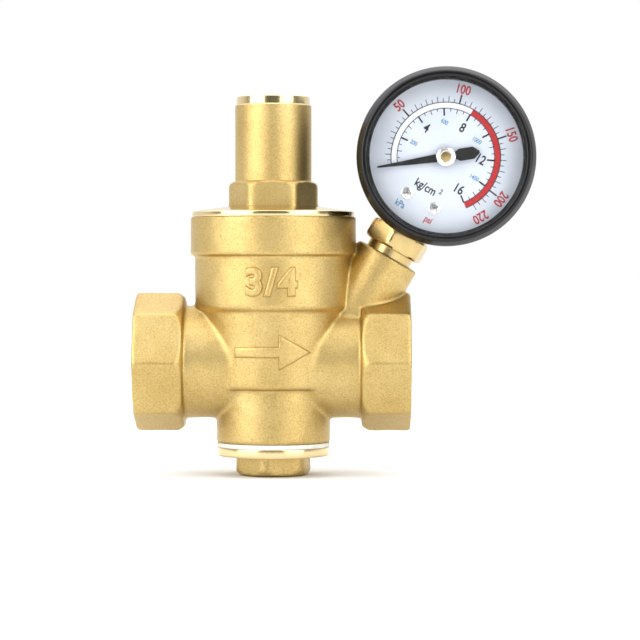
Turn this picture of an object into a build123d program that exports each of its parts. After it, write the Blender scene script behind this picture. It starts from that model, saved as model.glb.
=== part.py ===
from build123d import *
import math
import os

# Water pressure regulator: a direct-acting piston valve in cast brass, with a Bourdon tube
# gauge screwed into the low-pressure side.
#
# Millimetres. The origin is the centre of the inlet's mouth. +X is the way the water flows, and
# +Z runs up the valve's own axis to the adjusting screw. The front, with the gauge's dial, is -Y.
# Valve heights are measured from the flow axis, and valve radii from the valve's own axis.

# ---------------------------------------------------------------------------------------------
# Driving dimensions
# ---------------------------------------------------------------------------------------------

RUN = 0.03                  # radial clearance of a running fit
GAP = 0.05                  # gap between faces that move apart

# ports: G3/4 female
PORT_REACH = 33.5           # valve axis to either mouth
OCTAGON_R = 16.95           # to the corners
OCTAGON_LENGTH = 12.0
PORT_THREAD_R = 13.22
PORT_THREAD_LENGTH = 11.5
PORT_BORE_R = 10.5
BARREL_R = 13.7             # the pipe-like middle between the octagons

# body, bottom to top
FOOT_Z = -19.6
FOOT_R = 13.9
MID_Z = -6.3
MID_R = 17.2
MID_DRAFT = 0.4             # gained in radius up to the cup
CUP_Z = 12.6
CUP_R = 19.1
BAND_Z = 26.0
BAND_R = 20.15
RIM_Z = 35.3
LOWER_CHAMBER_R = 10.8
UPPER_CHAMBER_R = 11.5
PISTON_BORE_Z = 13.0
PISTON_BORE_R = 15.0
BONNET_THREAD_R = 18.0      # M36
PLUG_THREAD_R = 12.0        # M24
PLUG_THREAD_LENGTH = 7.0
LEAD = 0.4                  # chamfer that leads into a small thread
PORT_LEAD = 0.5             # chamfer that leads into a port's thread
PORT_RUNOUT = 1.6           # cone between a port's thread and its bore
OCTAGON_FRONT_TURN = 0.5    # corners turned off at the mouth
OCTAGON_BACK_TURN = 1.3     # and more behind

# seat web between the two chambers
WEB_BOTTOM_Z = -2.0
WEB_TOP_Z = 1.0
WEB_WALL = 3.0
SEAT_R = 6.5
SEAT_LIP = 1.0              # the lip stands this far below the web
SEAT_LIP_R = 8.0
WALL_BITE = 0.7             # how far the web runs into the casting round it

# bonnet
SKIRT_Z = 26.6
FLANGE_R = 19.8
FLANGE_TOP_Z = 36.5
HEX_Z = 38.4
HEX_TOP_Z = 44.0
BONNET_HEX_AF = 19.5
CONE_TOP_R = 10.8           # top of the cone between flange and hexagon
CONE_TOP_Z = 37.9
NECK_R = 9.0
BONNET_HEX_TURNED_R = 10.8
TUBE_R = 9.3
TUBE_RING_Z = 62.5
TUBE_RING_R = 8.9
TUBE_TOP_Z = 64.6
ADJUST_THREAD_R = 8.0       # M16
ADJUST_THREAD_Z = 44.5
SPRING_GUIDE_R = 7.3
SKIRT_BORE_R = 15.6
SKIRT_CONE_Z = 33.0         # the skirt's bore closes in from here
SKIRT_CONE_TOP_Z = 36.0

# adjusting train
SCREW_Z = 50.05
SCREW_LENGTH = 8.0
SOCKET_AF = 8.0
SOCKET_DEPTH = 6.0
SPRING_SEAT_Z = 48.0
SPRING_Z = 18.5
WIRE_R = 1.1
SPRING_COIL_R = 5.6
SPRING_TURNS = 7

# piston and its seal
PISTON_Z = PISTON_BORE_Z + GAP
PISTON_TOP_Z = 22.5
GROOVE_Z = 16.6
GROOVE_TOP_Z = 19.0
GROOVE_R = 12.65
CROWN_R = 6.5               # where the stem's cone meets the crown
SPRING_POCKET_R = 7.2
STEM_COLLAR_R = 4.4
STEM_NECK_R = 3.5
STEM_NECK_TOP_Z = 9.5
O_RING_WIRE_R = 1.15
STEM_R = 3.0
LIFT = 2.4                  # the disc's travel from fully open to the seat
DISC_TOP_Z = WEB_BOTTOM_Z - SEAT_LIP - LIFT
DISC_THICKNESS = 3.0
DISC_R = 8.4
HOLDER_R = 9.4
HOLDER_BOTTOM_Z = DISC_TOP_Z - 5.0
NUT_HEIGHT = 3.0
NUT_AF = 10.0
NUT_TURNED_R = 5.6
STEM_END_Z = -18.0

# bottom plug
GASKET_THICKNESS = 1.1
PLUG_FLANGE_Z = FOOT_Z - GASKET_THICKNESS
PLUG_FLANGE_BOTTOM_Z = -22.9
PLUG_BOTTOM_Z = -27.5
PLUG_HEX_AF = 17.0
PLUG_HEX_TURN = 18.6        # degrees from square-on
PLUG_HEX_TURNED_R = 9.3
PLUG_RIM_Z = -13.0
PLUG_CUP_R = 9.9
PLUG_CUP_FLOOR_Z = -19.2
PLUG_GUIDE_R = 4.6
PLUG_GUIDE_Z = -14.6
PLUG_GUIDE_DEPTH = 5.0

# gauge port: G1/4 female, in a boss that leans towards the outlet
LEAN = 30.0                 # degrees from upright
GAUGE_PORT_X = 28.0         # mouth centre, from the valve's axis
GAUGE_PORT_Z = 25.8
BOSS_R = 8.0
BOSS_LENGTH = 20.0
GAUGE_BORE_R = 6.58
GAUGE_BORE_DEPTH = 9.3
GAUGE_PASSAGE_R = 1.5
GAUGE_PASSAGE_DEPTH = 18.5

# gauge, in its own frame: x right and y up on the dial, z out of its face, 0 on the stem's axis
GAUGE_REACH = 27.5          # dial centre to the port's mouth
CASE_R = 20.3
CASE_WALL = 0.6
CASE_BACK_Z = -10.5
CASE_FRONT_Z = 11.5
BEZEL_R = 21.5
BEZEL_BACK_Z = 8.5
BEZEL_FRONT_Z = 15.5
WINDOW_R = 18.0
LENS_Z = 12.2
LENS_THICKNESS = 1.6
DIAL_Z = 8.6
DIAL_THICKNESS = 0.5
DIAL_R = 18.9
DIAL_SCREW_X = 3.75
DIAL_SCREW_Y = -12.1
POINTER_ZERO = 218.5        # degrees, anticlockwise from x, where the dial reads zero
POINTER_SWEEP = 257.0       # degrees, over the whole scale
POINTER_Z = 9.8
POINTER_TIP = 16.7
POINTER_TAIL = 8.2

# gauge movement
ARBOR_R = 0.5
PLATE_THICKNESS = 0.8
BACK_PLATE_Z = -1.4
FRONT_PLATE_Z = 5.0
GEAR_MODULE = 0.3
PINION_TEETH = 10
SECTOR_TEETH = 60           # on the whole circle; only a few are cut
SECTOR_CUT = range(-2, 10)  # which teeth, counted from the one in mesh at rest
GEAR_SLACK = 0.08           # backlash on the pitch circle
SECTOR_Z = 1.2
SECTOR_THICKNESS = 1.0
SECTOR_PIVOT_DEG = -45.0
TAIL_LENGTH = 3.5
LINK_Z = 2.7
LINK_THICKNESS = 0.6
TUBE_COIL_R = 13.3
TUBE_THICKNESS = 1.8
TUBE_BACK_Z = -9.0
TUBE_FRONT_Z = -2.0
TUBE_START_DEG = -122.0
TUBE_END_DEG = -22.0
TIP_END_DEG = -33.0
PILLARS = [(-6.5, 3.5), (5.5, 5.5), (-4.5, -7.5)]
PILLAR_R = 1.2
MOVEMENT_SCREW_YS = (-10.2, -13.4)
CASE_SCREW_X = 3.2
CASE_SCREW_Y = -14.5
BLOCK_HALF_WIDTH = 5.5
BLOCK_TOP_Y = -8.6
BLOCK_BOTTOM_Y = -18.5
BLOCK_FOOT_DEPTH = 13.0
BLOCK_FOOT_Z = 2.5          # the foot's middle, behind the dial's plane
BLOCK_FOOT_HEIGHT = 3.0
STEM_HEX_AF = 14.0
STEM_HEX_Y = -25.6
STEM_HEX_HEIGHT = 5.1
STEM_HEX_TURN = 17.8        # degrees from square-on
STEM_HEX_TURNED_R = 7.9
STEM_NOSE_Y = -36.4
STEM_NOSE_R = 2.6
STEM_SHOULDER_Y = -35.4
STEM_THREAD_Y = -34.5
STEM_RELIEF_Y = -27.9
STEM_RELIEF_R = 5.85
STEM_NECK_TOP_Y = -25.0
NECK_IN_CASE_R = 5.1
STEM_BORE_R = 0.9
STEM_BORE_LENGTH = 24.0
CROSS_HOLE_R = 2.0
CROSS_HOLE_Y = -29.6
CROSS_HOLE_LENGTH = 16.0
POST_R = 1.6                # posts under the dial
DIAL_SCREW_R = 0.7
DIAL_SCREW_HEAD_R = 1.4
DIAL_SCREW_HEAD_HEIGHT = 0.5
DIAL_SCREW_LENGTH = 4.0
CASE_SCREW_R = 1.0
CASE_SCREW_HEAD_R = 2.0
CASE_SCREW_HEAD_HEIGHT = 1.2
CASE_SCREW_LENGTH = 4.5
DIAL_HOLE_R = 1.2
POINTER_THICKNESS = 0.4
POINTER_WIDE = 1.5          # half width of the tail's blade
POINTER_NARROW = 0.75       # half width at the hub
POINTER_POINT = 0.12        # half width at the tip
POINTER_HUB_R = 2.0
CAP_R = 2.5
CAP_HEIGHT = 1.0
SECTOR_HUB_R = 1.7
TAIL_WIDTH = 2.0
TAIL_PIN_R = 0.6
TIP_POST_R = 0.9
TIP_PIN_R = 0.5
LINK_WIDTH = 1.4
LINK_EYE_R = 0.82           # inside the eye round the tail's pin
LINK_EYE_BOSS_R = 1.4
LINK_TIP_BOSS_R = 1.1
PLATE_CORNER_R = 2.0
PLATE_TABS = [(2.5, -13.2), (-2.5, -13.2)]
RIVET_R = 0.6
MOVEMENT_SCREW_R = 0.7
MOVEMENT_SCREW_HEAD_R = 1.3
MOVEMENT_SCREW_HEAD_HEIGHT = 0.8
MOVEMENT_SCREW_LENGTH = 2.8 # below the plate
HAIRSPRING_Z = 3.4
HAIRSPRING_WIDTH = 0.5
HAIRSPRING_STRIP = 0.14
HAIRSPRING_R = 1.2          # inner end
HAIRSPRING_HALF_TURNS = 7
HAIRSPRING_GROWTH = 0.4     # radius gained in each half turn

# ---------------------------------------------------------------------------------------------
# Places
# ---------------------------------------------------------------------------------------------

VALVE = Plane(origin=(PORT_REACH, 0, 0), x_dir=(1, 0, 0), z_dir=(0, -1, 0))
VALVE_AXIS = Axis((PORT_REACH, 0, 0), (0, 0, 1))
VALVE_MIDDLE = Plane(origin=(PORT_REACH, 0, 0), z_dir=(1, 0, 0))

LEAN_RAD = math.radians(LEAN)
STEM_DIR = Vector(math.sin(LEAN_RAD), 0, math.cos(LEAN_RAD))
GAUGE_MOUTH = Vector(PORT_REACH + GAUGE_PORT_X, 0, GAUGE_PORT_Z)
GAUGE_CENTRE = GAUGE_MOUTH + STEM_DIR * GAUGE_REACH
GAUGE = Plane(
    origin=GAUGE_CENTRE, x_dir=(math.cos(LEAN_RAD), 0, -math.sin(LEAN_RAD)), z_dir=(0, -1, 0)
)
GAUGE_AXIS = Axis(GAUGE_CENTRE, (0, -1, 0))
STEM_AXIS = Axis(GAUGE_CENTRE, STEM_DIR)


def level(z):
    """A horizontal plane across the valve's own axis."""
    return Plane(origin=(PORT_REACH, 0, z), z_dir=(0, 0, 1))


def dial_plane(z, x=0.0, y=0.0, turn=0.0):
    """A plane parallel to the dial, at a place in the gauge's own frame, turned in itself."""
    x_dir = GAUGE.x_dir.rotate(Axis((0, 0, 0), GAUGE.z_dir), turn)
    return Plane(origin=GAUGE.from_local_coords((x, y, z)), x_dir=x_dir, z_dir=GAUGE.z_dir)


def across_stem(y):
    """A plane square to the gauge's stem, its x along the dial and its z up the stem."""
    return Plane(origin=GAUGE.from_local_coords((0, y, 0)), x_dir=GAUGE.x_dir, z_dir=STEM_DIR)


# the plane that holds the gauge's axis and its stem: x out of the dial, y up the stem
STEM_SECTION = Plane(origin=GAUGE_CENTRE, x_dir=(0, -1, 0), z_dir=GAUGE.x_dir * -1)


def outline(plane, *points, radius=0.0):
    """A closed flat outline through the points, its corners rounded by one radius or a list."""
    with BuildSketch(plane) as sketch:
        with BuildLine():
            FilletPolyline(*points, radius=radius, close=True)
        make_face()
    return sketch.sketch


def turned_hex(plane, across_flats, height, turned_r, turn=0.0, both_ends=False):
    """A hexagon standing on a plane, its corners turned down and chamfered as bar stock is."""
    chamfer_drop = (across_flats / 2) * 0.12
    flat_r = across_flats / 2 * 0.98
    start = chamfer_drop if both_ends else 0.0
    first_r = flat_r if both_ends else turned_r
    with BuildPart() as blank:
        with BuildSketch(plane):
            RegularPolygon(across_flats / 2, 6, major_radius=False, rotation=turn)
        extrude(amount=height)
        section = Plane(origin=plane.origin, x_dir=plane.x_dir, z_dir=plane.x_dir.cross(plane.z_dir))
        with BuildSketch(section):
            with BuildLine():
                Polyline(
                    (0, 0),
                    (first_r, 0),
                    (turned_r, start + 1e-3),
                    (turned_r, height - chamfer_drop),
                    (flat_r, height),
                    (0, height),
                    close=True,
                )
            make_face()
        revolve(axis=Axis(plane.origin, plane.z_dir), mode=Mode.INTERSECT)
    return blank.part


# ---------------------------------------------------------------------------------------------
# Valve body
# ---------------------------------------------------------------------------------------------

# one octagonal port end, its inner corners turned off
with BuildPart() as port_blank:
    with BuildSketch(Plane.YZ):
        RegularPolygon(OCTAGON_R, 8)
    extrude(amount=OCTAGON_LENGTH)
    revolve(
        outline(
            Plane.XY,
            (0, 0),
            (0, OCTAGON_R - OCTAGON_FRONT_TURN),
            (OCTAGON_FRONT_TURN, OCTAGON_R),
            (OCTAGON_LENGTH - OCTAGON_BACK_TURN, OCTAGON_R),
            (OCTAGON_LENGTH, OCTAGON_R - OCTAGON_BACK_TURN),
            (OCTAGON_LENGTH, 0),
        ),
        axis=Axis.X,
        mode=Mode.INTERSECT,
    )

with BuildPart() as valve_body:
    # foot, middle, cup and band are one turned shape
    revolve(
        outline(
            VALVE,
            (0, FOOT_Z),
            (FOOT_R, FOOT_Z),
            (FOOT_R, MID_Z),
            (MID_R, MID_Z),
            (MID_R + MID_DRAFT, CUP_Z - 0.7),
            (CUP_R, CUP_Z + 0.9),
            (CUP_R, BAND_Z - 0.6),
            (BAND_R, BAND_Z + 0.4),
            (BAND_R, RIM_Z),
            (0, RIM_Z),
            radius=[0, 0.5, 1.0, 1.6, 1.5, 2.0, 0, 0.8, 0.7, 0],
        ),
        axis=VALVE_AXIS,
    )
    # barrel between the two octagons
    with BuildSketch(Plane.YZ.offset(OCTAGON_LENGTH - 1)):
        Circle(BARREL_R)
    extrude(amount=2 * (PORT_REACH - OCTAGON_LENGTH + 1))
    add(port_blank.part)
    mirror(port_blank.part, about=VALVE_MIDDLE)
    # gauge boss
    with BuildSketch(across_stem(-GAUGE_REACH)):
        Circle(BOSS_R)
    extrude(amount=-BOSS_LENGTH)

    # water way: thread, runout and bore from each mouth
    water_way = outline(
        Plane.XY,
        (0, 0),
        (0, PORT_THREAD_R + PORT_LEAD),
        (PORT_LEAD, PORT_THREAD_R),
        (PORT_THREAD_LENGTH, PORT_THREAD_R),
        (PORT_THREAD_LENGTH + PORT_RUNOUT, PORT_BORE_R),
        (PORT_REACH, PORT_BORE_R),
        (PORT_REACH, 0),
    )
    inlet_way = revolve(water_way, axis=Axis.X, mode=Mode.PRIVATE)
    add(inlet_way, mode=Mode.SUBTRACT)
    mirror(inlet_way, about=VALVE_MIDDLE, mode=Mode.SUBTRACT)
    # chamber below the seat, with the bottom plug's thread
    revolve(
        outline(
            VALVE,
            (0, FOOT_Z),
            (PLUG_THREAD_R + LEAD, FOOT_Z),
            (PLUG_THREAD_R, FOOT_Z + LEAD),
            (PLUG_THREAD_R, FOOT_Z + PLUG_THREAD_LENGTH),
            (LOWER_CHAMBER_R, FOOT_Z + PLUG_THREAD_LENGTH + 1.0),
            (LOWER_CHAMBER_R, WEB_BOTTOM_Z),
            (0, WEB_BOTTOM_Z),
        ),
        axis=VALVE_AXIS,
        mode=Mode.SUBTRACT,
    )
    # chamber above the seat, piston bore and the bonnet's thread
    revolve(
        outline(
            VALVE,
            (0, WEB_TOP_Z),
            (UPPER_CHAMBER_R, WEB_TOP_Z),
            (UPPER_CHAMBER_R, PISTON_BORE_Z),
            (PISTON_BORE_R, PISTON_BORE_Z),
            (PISTON_BORE_R, BAND_Z),
            (BONNET_THREAD_R, BAND_Z),
            (BONNET_THREAD_R, RIM_Z - 0.5),
            (BONNET_THREAD_R + 0.5, RIM_Z),
            (0, RIM_Z),
        ),
        axis=VALVE_AXIS,
        mode=Mode.SUBTRACT,
    )
    # seat web: a floor between the chambers, a wall above it towards the inlet and a wall
    # below it towards the outlet, so that the water has to rise through the seat
    WEB_HALF = UPPER_CHAMBER_R + WEB_WALL
    with BuildSketch(level(WEB_BOTTOM_Z)):
        Rectangle(2 * WEB_HALF, 2 * (PORT_BORE_R + WALL_BITE / 2))
        Circle(UPPER_CHAMBER_R + WALL_BITE)
    extrude(amount=WEB_TOP_Z - WEB_BOTTOM_Z)
    with BuildSketch(Plane.YZ.offset(PORT_REACH - WEB_HALF)):
        Circle(PORT_BORE_R + WALL_BITE)
        with Locations((0, -PORT_BORE_R)):
            Rectangle(3 * PORT_BORE_R, 2 * PORT_BORE_R, mode=Mode.SUBTRACT)
    extrude(amount=WEB_WALL)
    with BuildSketch(Plane.YZ.offset(PORT_REACH + UPPER_CHAMBER_R)):
        Circle(PORT_BORE_R + WALL_BITE)
        with Locations((0, PORT_BORE_R)):
            Rectangle(3 * PORT_BORE_R, 2 * PORT_BORE_R, mode=Mode.SUBTRACT)
    extrude(amount=WEB_WALL)
    with BuildSketch(level(WEB_BOTTOM_Z - SEAT_LIP)):
        Circle(SEAT_LIP_R)
    extrude(amount=SEAT_LIP)
    with BuildSketch(level(WEB_BOTTOM_Z - SEAT_LIP)):
        Circle(SEAT_R)
    extrude(amount=WEB_TOP_Z - WEB_BOTTOM_Z + SEAT_LIP, mode=Mode.SUBTRACT)

    # gauge port: thread, drill point and the small passage to the outlet
    revolve(
        outline(
            STEM_SECTION,
            (0, -GAUGE_REACH),
            (GAUGE_BORE_R + 0.5, -GAUGE_REACH),
            (GAUGE_BORE_R, -GAUGE_REACH - 0.5),
            (GAUGE_BORE_R, -GAUGE_REACH - GAUGE_BORE_DEPTH),
            (GAUGE_PASSAGE_R, -GAUGE_REACH - GAUGE_BORE_DEPTH - 0.9),
            (GAUGE_PASSAGE_R, -GAUGE_REACH - GAUGE_PASSAGE_DEPTH),
            (0, -GAUGE_REACH - GAUGE_PASSAGE_DEPTH),
        ),
        axis=STEM_AXIS,
        mode=Mode.SUBTRACT,
    )

# ---------------------------------------------------------------------------------------------
# Bonnet and what it holds
# ---------------------------------------------------------------------------------------------

bonnet_hex = turned_hex(level(HEX_Z), BONNET_HEX_AF, HEX_TOP_Z - HEX_Z, BONNET_HEX_TURNED_R)
skirt_r = BONNET_THREAD_R - RUN

with BuildPart() as bonnet:
    revolve(
        outline(
            VALVE,
            (SPRING_GUIDE_R, SKIRT_Z),
            (skirt_r - LEAD, SKIRT_Z),
            (skirt_r, SKIRT_Z + LEAD),
            (skirt_r, RIM_Z - 2 * LEAD),
            (skirt_r - LEAD, RIM_Z - LEAD),
            (skirt_r - LEAD, RIM_Z),
            (FLANGE_R, RIM_Z),
            (FLANGE_R, FLANGE_TOP_Z),
            (FLANGE_R - 0.4, FLANGE_TOP_Z + 0.2),
            (CONE_TOP_R, CONE_TOP_Z),
            (NECK_R, CONE_TOP_Z),
            (NECK_R, HEX_TOP_Z - 1),
            (TUBE_R, HEX_TOP_Z - 1),
            (TUBE_R, TUBE_RING_Z),
            (TUBE_RING_R, TUBE_RING_Z),
            (TUBE_RING_R, TUBE_TOP_Z - 0.35),
            (TUBE_RING_R - 0.35, TUBE_TOP_Z),
            (SPRING_GUIDE_R, TUBE_TOP_Z),
            radius=[0, 0, 0, 0, 0, 0, 0.2, 0.2, 0.3, 0.5, 0.2, 0, 0, 0.2, 0, 0, 0, 0],
        ),
        axis=VALVE_AXIS,
    )
    add(bonnet_hex)
    # spring space under the flange
    revolve(
        outline(
            VALVE,
            (0, SKIRT_Z),
            (SKIRT_BORE_R, SKIRT_Z),
            (SKIRT_BORE_R, SKIRT_CONE_Z),
            (SPRING_GUIDE_R, SKIRT_CONE_TOP_Z),
            (SPRING_GUIDE_R, ADJUST_THREAD_Z),
            (ADJUST_THREAD_R, ADJUST_THREAD_Z + 0.5),
            (ADJUST_THREAD_R, TUBE_TOP_Z - 0.3),
            (ADJUST_THREAD_R + 0.3, TUBE_TOP_Z),
            (0, TUBE_TOP_Z),
        ),
        axis=VALVE_AXIS,
        mode=Mode.SUBTRACT,
    )

with BuildPart() as bonnet_seal:
    with BuildSketch(level(BAND_Z)):
        Circle(BONNET_THREAD_R - 0.1)
        Circle(SKIRT_BORE_R, mode=Mode.SUBTRACT)
    extrude(amount=SKIRT_Z - BAND_Z)

with BuildPart() as adjusting_screw:
    with BuildSketch(level(SCREW_Z)):
        Circle(ADJUST_THREAD_R - RUN)
    extrude(amount=SCREW_LENGTH)
    chamfer(adjusting_screw.edges().filter_by(GeomType.CIRCLE), 0.5)
    with BuildSketch(level(SCREW_Z + SCREW_LENGTH - SOCKET_DEPTH)):
        RegularPolygon(SOCKET_AF / 2, 6, major_radius=False)
    extrude(amount=SOCKET_DEPTH, mode=Mode.SUBTRACT)

with BuildPart() as spring_seat:
    # disc that the screw bears on, with a spigot inside the spring's last coil
    with BuildSketch(level(SPRING_SEAT_Z)):
        Circle(SPRING_GUIDE_R - 0.2)
    extrude(amount=SCREW_Z - GAP - SPRING_SEAT_Z)
    chamfer(spring_seat.edges().filter_by(GeomType.CIRCLE), 0.25)
    with BuildSketch(level(SPRING_SEAT_Z)):
        Circle(SPRING_COIL_R - WIRE_R - 0.3)
    extrude(amount=-3)
    chamfer(spring_seat.faces().sort_by(Axis.Z)[0].edges(), 0.6)

with BuildPart() as main_spring:
    spring_height = SPRING_SEAT_Z - SPRING_Z - 2 * WIRE_R - 2 * GAP
    with BuildLine():
        coil = Helix(
            pitch=spring_height / SPRING_TURNS,
            height=spring_height,
            radius=SPRING_COIL_R,
            center=(PORT_REACH, 0, SPRING_Z + WIRE_R + GAP),
        )
    with BuildSketch(Plane(origin=coil @ 0, z_dir=coil % 0)):
        Circle(WIRE_R)
    sweep(is_frenet=True)

# ---------------------------------------------------------------------------------------------
# Piston and valve disc
# ---------------------------------------------------------------------------------------------

piston_r = PISTON_BORE_R - RUN

with BuildPart() as piston:
    revolve(
        outline(
            VALVE,
            (0, STEM_END_Z),
            (STEM_R - 0.5, STEM_END_Z),
            (STEM_R, STEM_END_Z + 0.5),
            (STEM_R, DISC_TOP_Z),
            (STEM_COLLAR_R, DISC_TOP_Z),
            (STEM_COLLAR_R, DISC_TOP_Z + 1.0),
            (STEM_NECK_R, DISC_TOP_Z + 1.9),
            (STEM_NECK_R, STEM_NECK_TOP_Z),
            (CROWN_R, PISTON_Z),
            (piston_r - LEAD, PISTON_Z),
            (piston_r, PISTON_Z + LEAD),
            (piston_r, GROOVE_Z),
            (GROOVE_R, GROOVE_Z),
            (GROOVE_R, GROOVE_TOP_Z),
            (piston_r, GROOVE_TOP_Z),
            (piston_r, PISTON_TOP_Z - LEAD),
            (piston_r - LEAD, PISTON_TOP_Z),
            (SPRING_POCKET_R + 0.6, PISTON_TOP_Z),
            (SPRING_POCKET_R, PISTON_TOP_Z - 0.6),
            (SPRING_POCKET_R, SPRING_Z),
            (0, SPRING_Z),
        ),
        axis=VALVE_AXIS,
    )

with BuildPart() as piston_o_ring:
    groove_middle_z = (GROOVE_Z + GROOVE_TOP_Z) / 2
    with BuildSketch(VALVE):
        with Locations((PISTON_BORE_R - 0.02 - O_RING_WIRE_R, groove_middle_z)):
            Circle(O_RING_WIRE_R)
    revolve(axis=VALVE_AXIS)

with BuildPart() as valve_disc:
    with BuildSketch(level(DISC_TOP_Z)):
        Circle(DISC_R)
        Circle(STEM_R + RUN, mode=Mode.SUBTRACT)
    extrude(amount=-DISC_THICKNESS)

with BuildPart() as disc_holder:
    revolve(
        outline(
            VALVE,
            (STEM_R + RUN, HOLDER_BOTTOM_Z),
            (HOLDER_R - 0.8, HOLDER_BOTTOM_Z),
            (HOLDER_R, HOLDER_BOTTOM_Z + 0.8),
            (HOLDER_R, DISC_TOP_Z - 1.0),
            (DISC_R + RUN, DISC_TOP_Z - 1.0),
            (DISC_R + RUN, DISC_TOP_Z - DISC_THICKNESS),
            (STEM_R + RUN, DISC_TOP_Z - DISC_THICKNESS),
        ),
        axis=VALVE_AXIS,
    )

with BuildPart() as disc_nut:
    nut_level = level(HOLDER_BOTTOM_Z - NUT_HEIGHT)
    add(turned_hex(nut_level, NUT_AF, NUT_HEIGHT, NUT_TURNED_R, both_ends=True))
    with BuildSketch(nut_level):
        Circle(STEM_R + 0.01)
    extrude(amount=NUT_HEIGHT, mode=Mode.SUBTRACT)

# ---------------------------------------------------------------------------------------------
# Bottom plug
# ---------------------------------------------------------------------------------------------

plug_hex_height = PLUG_FLANGE_BOTTOM_Z - PLUG_BOTTOM_Z
plug_hex_plane = Plane(
    origin=(PORT_REACH, 0, PLUG_FLANGE_BOTTOM_Z), x_dir=(1, 0, 0), z_dir=(0, 0, -1)
)
plug_hex = turned_hex(
    plug_hex_plane, PLUG_HEX_AF, plug_hex_height, PLUG_HEX_TURNED_R, turn=-PLUG_HEX_TURN
)

with BuildPart() as bottom_plug:
    revolve(
        outline(
            VALVE,
            (0, PLUG_FLANGE_BOTTOM_Z),
            (FOOT_R - 0.1, PLUG_FLANGE_BOTTOM_Z),
            (FOOT_R - 0.1, PLUG_FLANGE_Z),
            (PLUG_THREAD_R - RUN, PLUG_FLANGE_Z),
            (PLUG_THREAD_R - RUN, PLUG_RIM_Z - LEAD),
            (PLUG_THREAD_R - RUN - LEAD, PLUG_RIM_Z),
            (PLUG_CUP_R, PLUG_RIM_Z),
            (PLUG_CUP_R, PLUG_CUP_FLOOR_Z),
            (PLUG_GUIDE_R, PLUG_CUP_FLOOR_Z),
            (PLUG_GUIDE_R, PLUG_GUIDE_Z),
            (0, PLUG_GUIDE_Z),
            radius=[0, 0.9, 0.35, 0, 0, 0, 0, 0, 0, 0, 0],
        ),
        axis=VALVE_AXIS,
    )
    add(plug_hex)
    # guide for the end of the stem
    with BuildSketch(level(PLUG_GUIDE_Z)):
        Circle(STEM_R + RUN)
    extrude(amount=-PLUG_GUIDE_DEPTH, mode=Mode.SUBTRACT)

with BuildPart() as bottom_gasket:
    with BuildSketch(level(FOOT_Z)):
        Circle(FOOT_R - 0.1)
        Circle(PLUG_THREAD_R + 0.02, mode=Mode.SUBTRACT)
    extrude(amount=-GASKET_THICKNESS)

# ---------------------------------------------------------------------------------------------
# Gauge: socket, case, bezel and lens
# ---------------------------------------------------------------------------------------------

stem_hex = turned_hex(
    across_stem(STEM_HEX_Y),
    STEM_HEX_AF,
    STEM_HEX_HEIGHT,
    STEM_HEX_TURNED_R,
    turn=STEM_HEX_TURN,
    both_ends=True,
)
DIAL_SCREWS = [(-DIAL_SCREW_X, DIAL_SCREW_Y), (DIAL_SCREW_X, DIAL_SCREW_Y)]
CASE_SCREWS = [(-CASE_SCREW_X, CASE_SCREW_Y), (CASE_SCREW_X, CASE_SCREW_Y)]
SCREW_HOLE = 0.02           # how much wider than its screw a tapped hole is

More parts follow.
